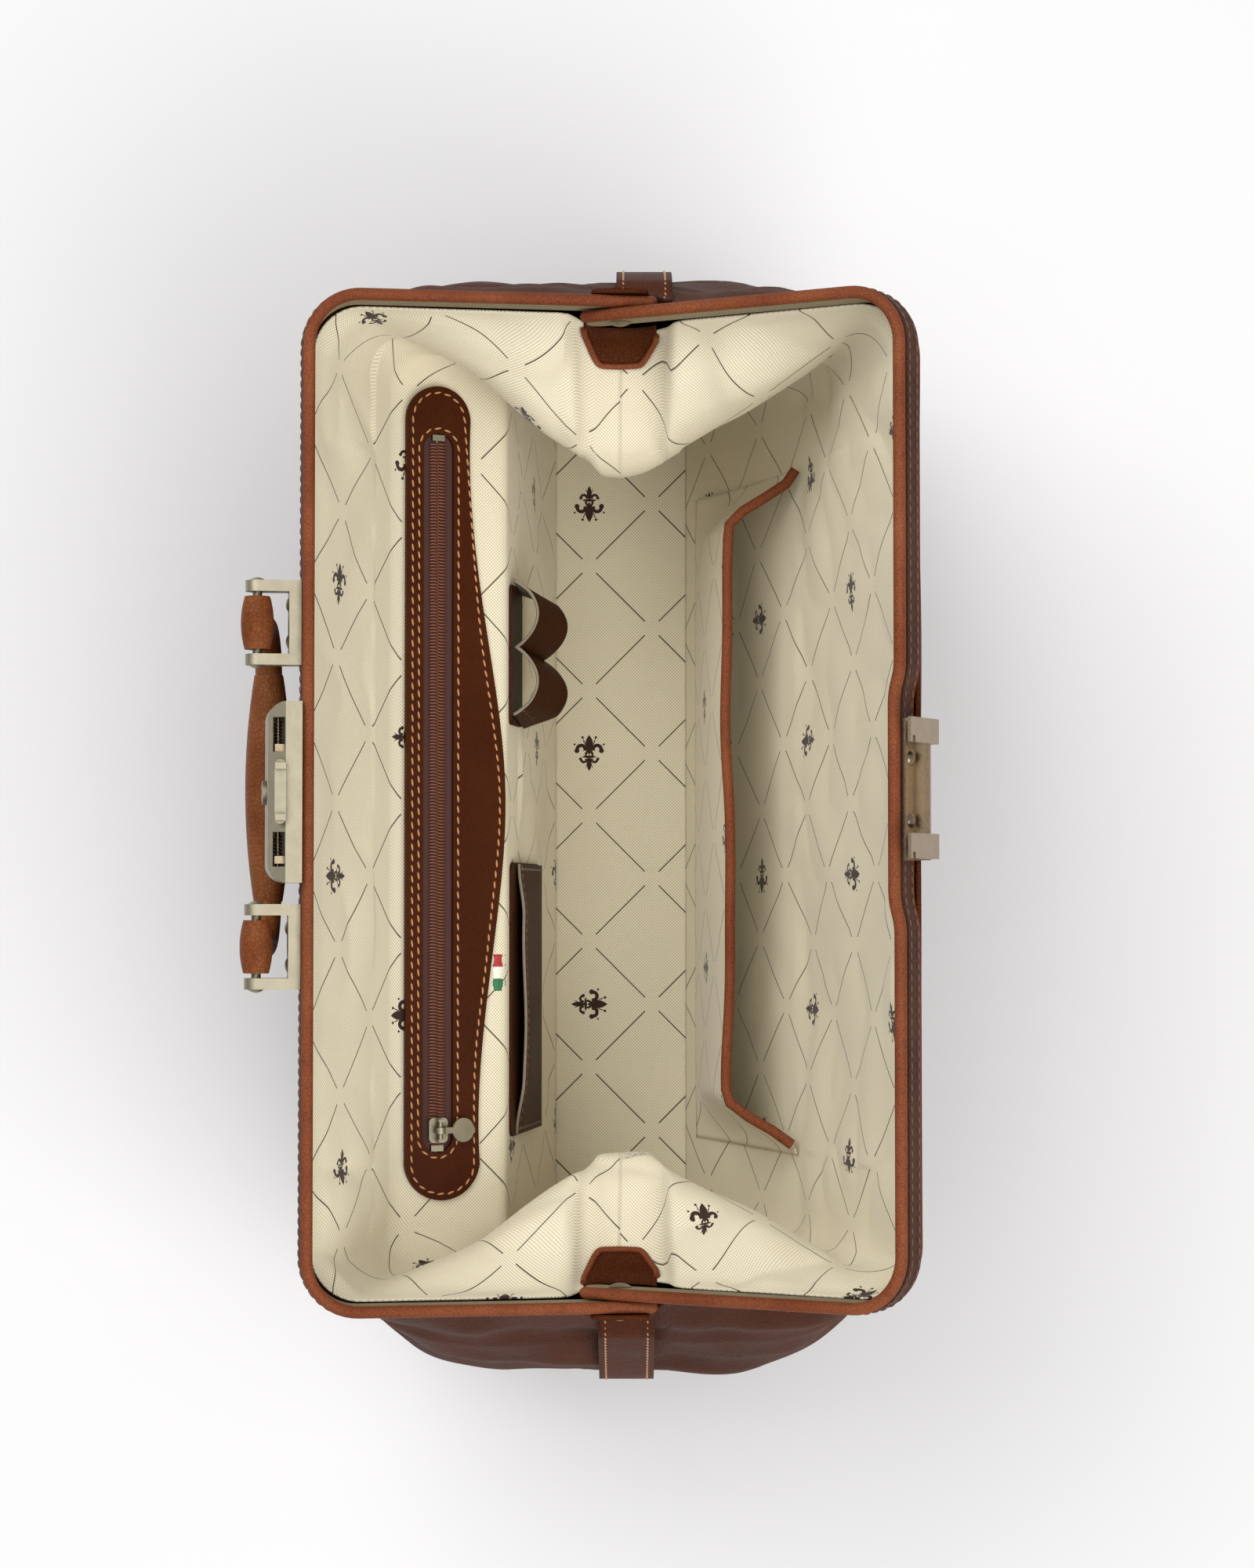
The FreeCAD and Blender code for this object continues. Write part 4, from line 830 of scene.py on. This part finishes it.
def stitch_group():
    """Slanted beads along a line whose points know, as their attribute up, which way the surface faces."""
    group, n, given, out = new_group("Stitch row", "GeometryNodeTree", [
        ("Geometry", MESH, None), ("Pitch", NUMBER, 0.0043),
        ("Length", NUMBER, 0.0031), ("Thickness", NUMBER, 0.0004),
        ("Slant", NUMBER, 0.16), ("Thread", "NodeSocketMaterial", None)],
        [("Geometry", MESH)])
    bead = n.add("GeometryNodeMeshIcoSphere", {"Radius": 1.0, "Subdivisions": 2})
    size = n.add("ShaderNodeCombineXYZ", {0: given["Thickness"], 1: given["Thickness"]})
    n.put(size.inputs[2], n.times(given["Length"], 0.5))
    normal = n.add("GeometryNodeInputNamedAttribute", {"Name": "up"}, data_type="FLOAT_VECTOR")
    tangent = n.add("GeometryNodeInputTangent")
    align = n.add("FunctionNodeAxesToRotation",
                  {"Primary Axis": tangent, "Secondary Axis": normal.outputs["Attribute"]})
    align.primary_axis = "Z"
    align.secondary_axis = "X"
    slant = n.add("FunctionNodeRotateRotation", {"Rotation": align}, rotation_space="LOCAL")
    spin = n.add("ShaderNodeCombineXYZ", {0: given["Slant"]})
    n.put(slant.inputs["Rotate By"], n.add("FunctionNodeEulerToRotation", {0: spin}))
    placed = n.add("GeometryNodeInstanceOnPoints",
                   {"Points": spaced_points(n, given), "Instance": bead, "Rotation": slant, "Scale": size})
    finish_copies(n, out, placed, given["Thread"])
    return group


STITCH = stitch_group()


def run_group(obj, group, **values):
    """Runs a geometry node group on an object with its inputs set by name, and bakes the result."""
    modifier = obj.modifiers.new(group.name, "NODES")
    modifier.node_group = group
    for item in group.interface.items_tree:
        if item.in_out == "INPUT" and item.name in values:
            modifier[item.identifier] = values[item.name]
    bake(obj)


def stitch_row(name, tracks, ups, body="bag_body", thread=DARK_THREAD, pitch=4.3, length=3.1, thickness=0.4,
               closed=False):
    """Stitches along one or more lines of points in millimetres. ups holds the direction the surface faces."""
    mesh = bpy.data.meshes.new(name)
    points, edges, facing = [], [], []
    for track, up in zip(tracks, ups):
        first = len(points)
        for i, p in enumerate(track):
            points.append(Vector(p) * MM)
            facing.append(up[i] if isinstance(up, list) else up)
            if i:
                edges.append((first + i - 1, first + i))
        if closed:
            edges.append((first + len(track) - 1, first))
    mesh.from_pydata(points, edges, [])
    attribute = mesh.attributes.new("up", "FLOAT_VECTOR", "POINT")
    for item, value in zip(attribute.data, facing):
        item.vector = value
    obj = new_object(name, mesh)
    run_group(obj, STITCH, Pitch=pitch * MM, Length=length * MM, Thickness=thickness * MM, Thread=thread)
    carried(obj, body=body)


# ---------------- pen loops and ribbon
def pen_strip(f, g, off=0.0):
    """A point of the strip for pens: f runs along it, g down it."""
    x = mix(-91.0, -36.0, f) + 4.0 * (g - 0.5)
    arch = abs(math.sin(2 * math.pi * f)) ** 0.75
    lift = mix(1.0, 7.0, g) * smooth(f / 0.10) * smooth((1 - f) / 0.10)
    return wall_place(x, mix(4.2, 28.0, g), 1.9 + lift + mix(9.0, 11.0, g) * arch + off) / MM


def build_pen_loops():
    """One strip that stands off the wall in two arches, wider open towards its foot."""
    rows, columns = 16, 111
    points = [pen_strip(c / (columns - 1), r / (rows - 1)) for r in range(rows) for c in range(columns)]
    obj = mesh_object("Pen_loops", points, grid_faces(rows, columns, flip=True), SUEDE)
    thicken(obj, 1.3, 0.0, POCKET)
    carried(obj, "pen_loops")


build_pen_loops()

RIBBON_SHADES = [plain_material("Ribbon " + label, code, 0.55, sheen=0.3)
                 for label, code in (("red", "a32025"), ("white", "e4e2d6"), ("green", "1f6b3d"))]


def build_ribbon():
    """A small folded ribbon in three woven stripes, caught in the pocket's seam."""
    points, faces, owners = [], [], []
    stripes, columns, rows = 3, 7, 8
    for stripe in range(stripes):
        first = len(points)
        for r in range(rows):
            g = r / (rows - 1)
            for c in range(columns):
                x = 59.2 + 14.6 * (stripe + c / (columns - 1)) / stripes
                s = mix(41.6, 48.4, g)
                t = 0.35 + 1.1 * math.sin(math.pi * min(1.0, g * 1.1)) + 0.12 * math.sin(x)
                points.append(shelf_place(x, s, t) / MM)
        for face in grid_faces(rows, columns):
            faces.append(tuple(first + i for i in face))
            owners.append(stripe)
    obj = mesh_object("Ribbon_tab", points, faces, RIBBON_SHADES[0])
    for shade in RIBBON_SHADES[1:]:
        obj.data.materials.append(shade)
    for face, owner in zip(obj.data.polygons, owners):
        face.material_index = owner
    thicken(obj, 0.35, 0.0)
    return carried(obj, "ribbon_tab")


RIBBON = build_ribbon()

# ---------------- zip coil
def coil_group():
    """Interlocked coil turns along a line of points: one bent turn to each side, in turn."""
    group, n, given, out = new_group("Zip turns", "GeometryNodeTree", [
        ("Geometry", MESH, None), ("Pitch", NUMBER, 0.00125),
        ("Turn", "NodeSocketObject", None), ("Coil", "NodeSocketMaterial", None)],
        [("Geometry", MESH)])
    shape = n.add("GeometryNodeObjectInfo", {"Object": given["Turn"]})
    placed = n.add("GeometryNodeInstanceOnPoints",
                   {"Points": spaced_points(n, given), "Instance": shape.outputs["Geometry"]})
    finish_copies(n, out, placed, given["Coil"])
    return group


COIL_GROUP = coil_group()
COIL_LINE = WINDOW_START + WINDOW_ROUND
COIL_HALF = 140.2


def build_coil(side):
    """One side's turns. Each reaches just over the middle and is wrapped round the tape's edge."""
    fall = math.atan2(SHELF_TOP[1] - SHELF_END[1], SHELF_END[0] - SHELF_TOP[0])
    track = []
    for i in range(13):
        a = i / 12 * 2 * math.pi
        s = side * (1.55 + 1.75 * math.cos(a))
        t = 1.5 + 0.62 * math.sin(a)
        x = 0.32 * math.sin(a + 0.4) * side
        track.append((x, s * math.cos(fall) + t * math.sin(fall), -s * math.sin(fall) + t * math.cos(fall)))
    turn = tube("turn", track, 0.36, COIL)
    mesh = bpy.data.meshes.new("coil line")
    start = shelf_place(ZIP_X - COIL_HALF + (0.3 if side > 0 else 0.92), COIL_LINE, 0)
    end = shelf_place(ZIP_X + COIL_HALF, COIL_LINE, 0)
    mesh.from_pydata([start, end], [(0, 1)], [])
    name = "Zip_coil_back" if side > 0 else "Zip_coil_front"
    obj = new_object(name, mesh)
    run_group(obj, COIL_GROUP, Turn=turn, Coil=COIL)
    bpy.data.objects.remove(turn)
    carried(obj, name.lower())


build_coil(-1)
build_coil(1)


# ---------------- rows of stitches
def shelf_track(pairs, t):
    return [shelf_place(x, s, t) / MM for x, s in pairs]


def arc_pairs(cx, cy, rx, ry, start, end, count):
    return [(cx + rx * math.cos(math.radians(mix(start, end, i / count))),
             cy + ry * math.sin(math.radians(mix(start, end, i / count)))) for i in range(count + 1)]


PANEL_EDGE = [(-155.0, 27.5), (-75.0, 34.0), (-5.0, 43.0), (55.0, 38.0), (100.0, 32.6), (143.0, 32.0)]


def panel_edge(x):
    """The zip panel's edge nearest the middle of the bag: how far down the slope it lies."""
    return PANEL_START + spline(PANEL_EDGE, x)


def panel_outline(inset):
    """The zip panel's outline, set in by a margin."""
    left, right = ZIP_X - PANEL_HALF, ZIP_X + PANEL_HALF
    pairs = [(mix(left, right, i / 40), PANEL_START + inset) for i in range(41)]
    middle = PANEL_START + 16.0
    pairs += arc_pairs(right, middle, 14.0 - inset, 16.0 - inset, -90, 90, 14)[1:]
    pairs += [(mix(right, left, i / 60), panel_edge(mix(right, left, i / 60)) - inset) for i in range(1, 61)]
    middle = PANEL_START + 13.75
    pairs += arc_pairs(left, middle, 14.0 - inset, 13.75 - inset, 90, 270, 14)[1:-1]
    return pairs


def window_outline(grow):
    """The zip window's outline, grown by a margin."""
    left, right = ZIP_X - WINDOW_HALF + WINDOW_ROUND, ZIP_X + WINDOW_HALF - WINDOW_ROUND
    radius = WINDOW_ROUND + grow
    pairs = [(mix(left, right, i / 40), COIL_LINE - radius) for i in range(41)]
    pairs += arc_pairs(right, COIL_LINE, radius, radius, -90, 90, 12)[1:]
    pairs += [(mix(right, left, i / 40), COIL_LINE + radius) for i in range(1, 41)]
    pairs += arc_pairs(left, COIL_LINE, radius, radius, 90, 270, 12)[1:-1]
    return pairs


shelf_up = (shelf_place(0, 0, 1) - shelf_place(0, 0, 0)).normalized()
PANEL_SEAM = 0.8 + 1.8 + 0.12
panel_lines = [shelf_track(pairs, PANEL_SEAM) for pairs in (panel_outline(2.6), window_outline(2.0))]
stitch_row("Panel_stitches", panel_lines, [shelf_up] * 2, thread=THREAD, closed=True)

wall_up = (wall_place(0, 0, 1) - wall_place(0, 0, 0)).normalized()


card_lines = [[card_place(x, 16.2, 0.7) for x in range(24, 132, 2)]]
card_lines += [[card_place(x, s, 0.7) for s in range(15, 68, 2)] for x in (24.6, 130.4)]
stitch_row("Card_pocket_stitches", card_lines, [wall_up] * 3, pitch=3.6, length=2.6)
pen_lines = [[pen_strip(f, g / 12, 0.75) for g in range(1, 12)] for f in (0.035, 0.5, 0.965)]
stitch_row("Pen_loop_stitches", pen_lines, [wall_up] * 3, pitch=3.4, length=2.4)

for part, side in (("left", -1), ("right", 1)):
    stitch_row("Strap_stitches_" + part, STRAP_LINES[side], [(side, 0, 0)] * 2, thread=THREAD, pitch=3.8, length=2.6)


def band_track(side, half_length, n, joggled):
    """A line round one frame half's outer face, at a height n on the band, and the way it faces at each point."""
    off = 0.1
    half, radius, bend = half_length + off, CORNER + off, ARM - CORNER
    start = 24.0 if side < 0 else 44.0
    right = [(half, mix(start, bend, i / 24)) for i in range(25)]
    right += arc_pairs(half - radius, bend, radius, radius, 6, 90, 14)
    bar = []
    for i in range(1, 121):
        x = mix(half - radius, -half + radius, i / 120)
        inward = 2.4 * (1 - smooth((abs(x) - 34.0) / 16.0)) if joggled else 0.0
        bar.append((x, ARM + off - inward))
    left = [(-x, u) for x, u in right[-2::-1]]
    track = [frame_place(x, u, n, side) / MM for x, u in right + bar + left]
    centre = frame_place(0, 60, n, side) / MM
    return track, [tuple((p - centre).normalized()) for p in track]


for label, side, half, joggled in (("front", -1, FRONT_HALF, False), ("back", 1, BACK_HALF, True)):
    tracks, ups = zip(*(band_track(side, half, n, joggled) for n in (3.0, -3.4)))
    stitch_row("Frame_stitches_" + label, tracks, ups, label + "_frame", pitch=4.0, length=2.9, thickness=0.35)

# ---------------- finishes of the solid pieces
FINISH = {
    BODY: ["base_panel"], COVER: ["front_frame_cover", "back_frame_cover"],
    EDGE: ["front_frame_piping", "back_frame_piping", "front_frame_welt", "back_frame_welt"],
    HANDLE: ["handle_cover"], PANEL: ["zip_panel"], POCKET: ["card_pocket_back", "pen_loop_strip"],
    FACING: ["front_frame_facing", "back_frame_facing"], BOARD: ["base_board"],
    STEEL: ["front_frame_bow", "back_frame_bow", "handle_core"],
    NICKEL: ["hook_plate", "hook_rivets", "lock_bolt", "lock_springs", "lock_spring_bar", "lock_back_plate"],
    BRASS: ["lock_case", "lock_thumb_piece", "key_cylinder", "lock_screws", "bracket_screws", "handle_bracket_left",
            "handle_bracket_right", "handle_pin_left", "handle_pin_right", "hinge_rivet_left", "hinge_rivet_right",
            "feet", "zip_slider", "zip_puller", "zip_stops"],
    LINING: ["zip_pocket_bag"], TAPE: ["zip_tape"],
}
SOFT_EDGES = {
    0.7: ["handle_bracket_left", "handle_bracket_right"], 0.6: ["lock_case"], 0.4: ["zip_panel"],
    0.35: ["lock_thumb_piece"], 0.25: ["hook_plate", "zip_slider", "zip_puller", "key_cylinder"],
    0.3: ["card_pocket_back", "pen_loop_strip", "front_frame_facing", "back_frame_facing", "front_frame_cover",
          "back_frame_cover"],
}
for material, names in FINISH.items():
    for name in names:
        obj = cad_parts[name]
        for held in obj.material_slots:
            held.material = material
        if not obj.material_slots:
            obj.data.materials.append(material)
for width, names in SOFT_EDGES.items():
    for name in names:
        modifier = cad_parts[name].modifiers.new("Edges", "BEVEL")
        modifier.width = width * MM
        modifier.segments = 2
        modifier.limit_method = "ANGLE"
        modifier.angle_limit = math.radians(40)

# ---------------- studio
def area_light(name, place, aim, size, power):
    """A soft rectangular light. Places and sizes are in metres, power in watts."""
    data = bpy.data.lights.new(name, "AREA")
    data.shape = "RECTANGLE"
    data.size, data.size_y = size
    data.energy = power
    obj = new_object(name, data)
    obj.location = place
    obj.rotation_euler = (Vector(aim) - Vector(place)).to_track_quat("-Z", "Y").to_euler()


area_light("Key light", (-1.0, -0.85, 1.8), (0, 0, 0.15), (1.5, 1.5), 30)
area_light("Fill light", (1.1, 0.9, 1.7), (0, 0, 0.15), (1.6, 1.6), 31)
area_light("Top light", (0.0, 0.1, 2.4), (0, 0, 0.0), (1.2, 1.6), 13)
world = bpy.data.worlds.new("Studio")
bpy.context.scene.world = world
world.use_nodes = True
world.node_tree.nodes["Background"].inputs[0].default_value = (1.0, 1.0, 1.0, 1)
world.node_tree.nodes["Background"].inputs[1].default_value = 0.40

FLOOR_HALF, FLOOR_DROP = 6.0, 0.0002
corners = [(x * FLOOR_HALF, y * FLOOR_HALF, -FLOOR_DROP) for x, y in ((-1, -1), (1, -1), (1, 1), (-1, 1))]
floor_mesh = bpy.data.meshes.new("Studio floor")
floor_mesh.from_pydata(corners, [], [(0, 1, 2, 3)])
floor_object = new_object("Studio_floor", floor_mesh)
floor_mesh.materials.append(plain_material("Studio floor", "dcdbdb", 0.9))

camera_data = bpy.data.cameras.new("Camera")
camera_data.sensor_fit = "VERTICAL"
camera_data.sensor_height = 36.0
camera_data.lens = 77.9922
camera_data.clip_start = 0.05
camera = new_object("Camera", camera_data)
eye = Vector((0.040, 0.0024, 1.508))
aim = Vector((-0.007, 0.0027, 0.208))
back_axis = (eye - aim).normalized()
up_axis = back_axis.cross(Vector((0, 1, 0))).normalized()
right_axis = up_axis.cross(back_axis).normalized()
turn = Matrix((right_axis, up_axis, back_axis)).transposed().to_4x4()
camera.matrix_world = Matrix.Translation(eye) @ turn
scene = bpy.context.scene
scene.camera = camera
scene.view_settings.view_transform = "Standard"
scene.render.engine = "CYCLES"
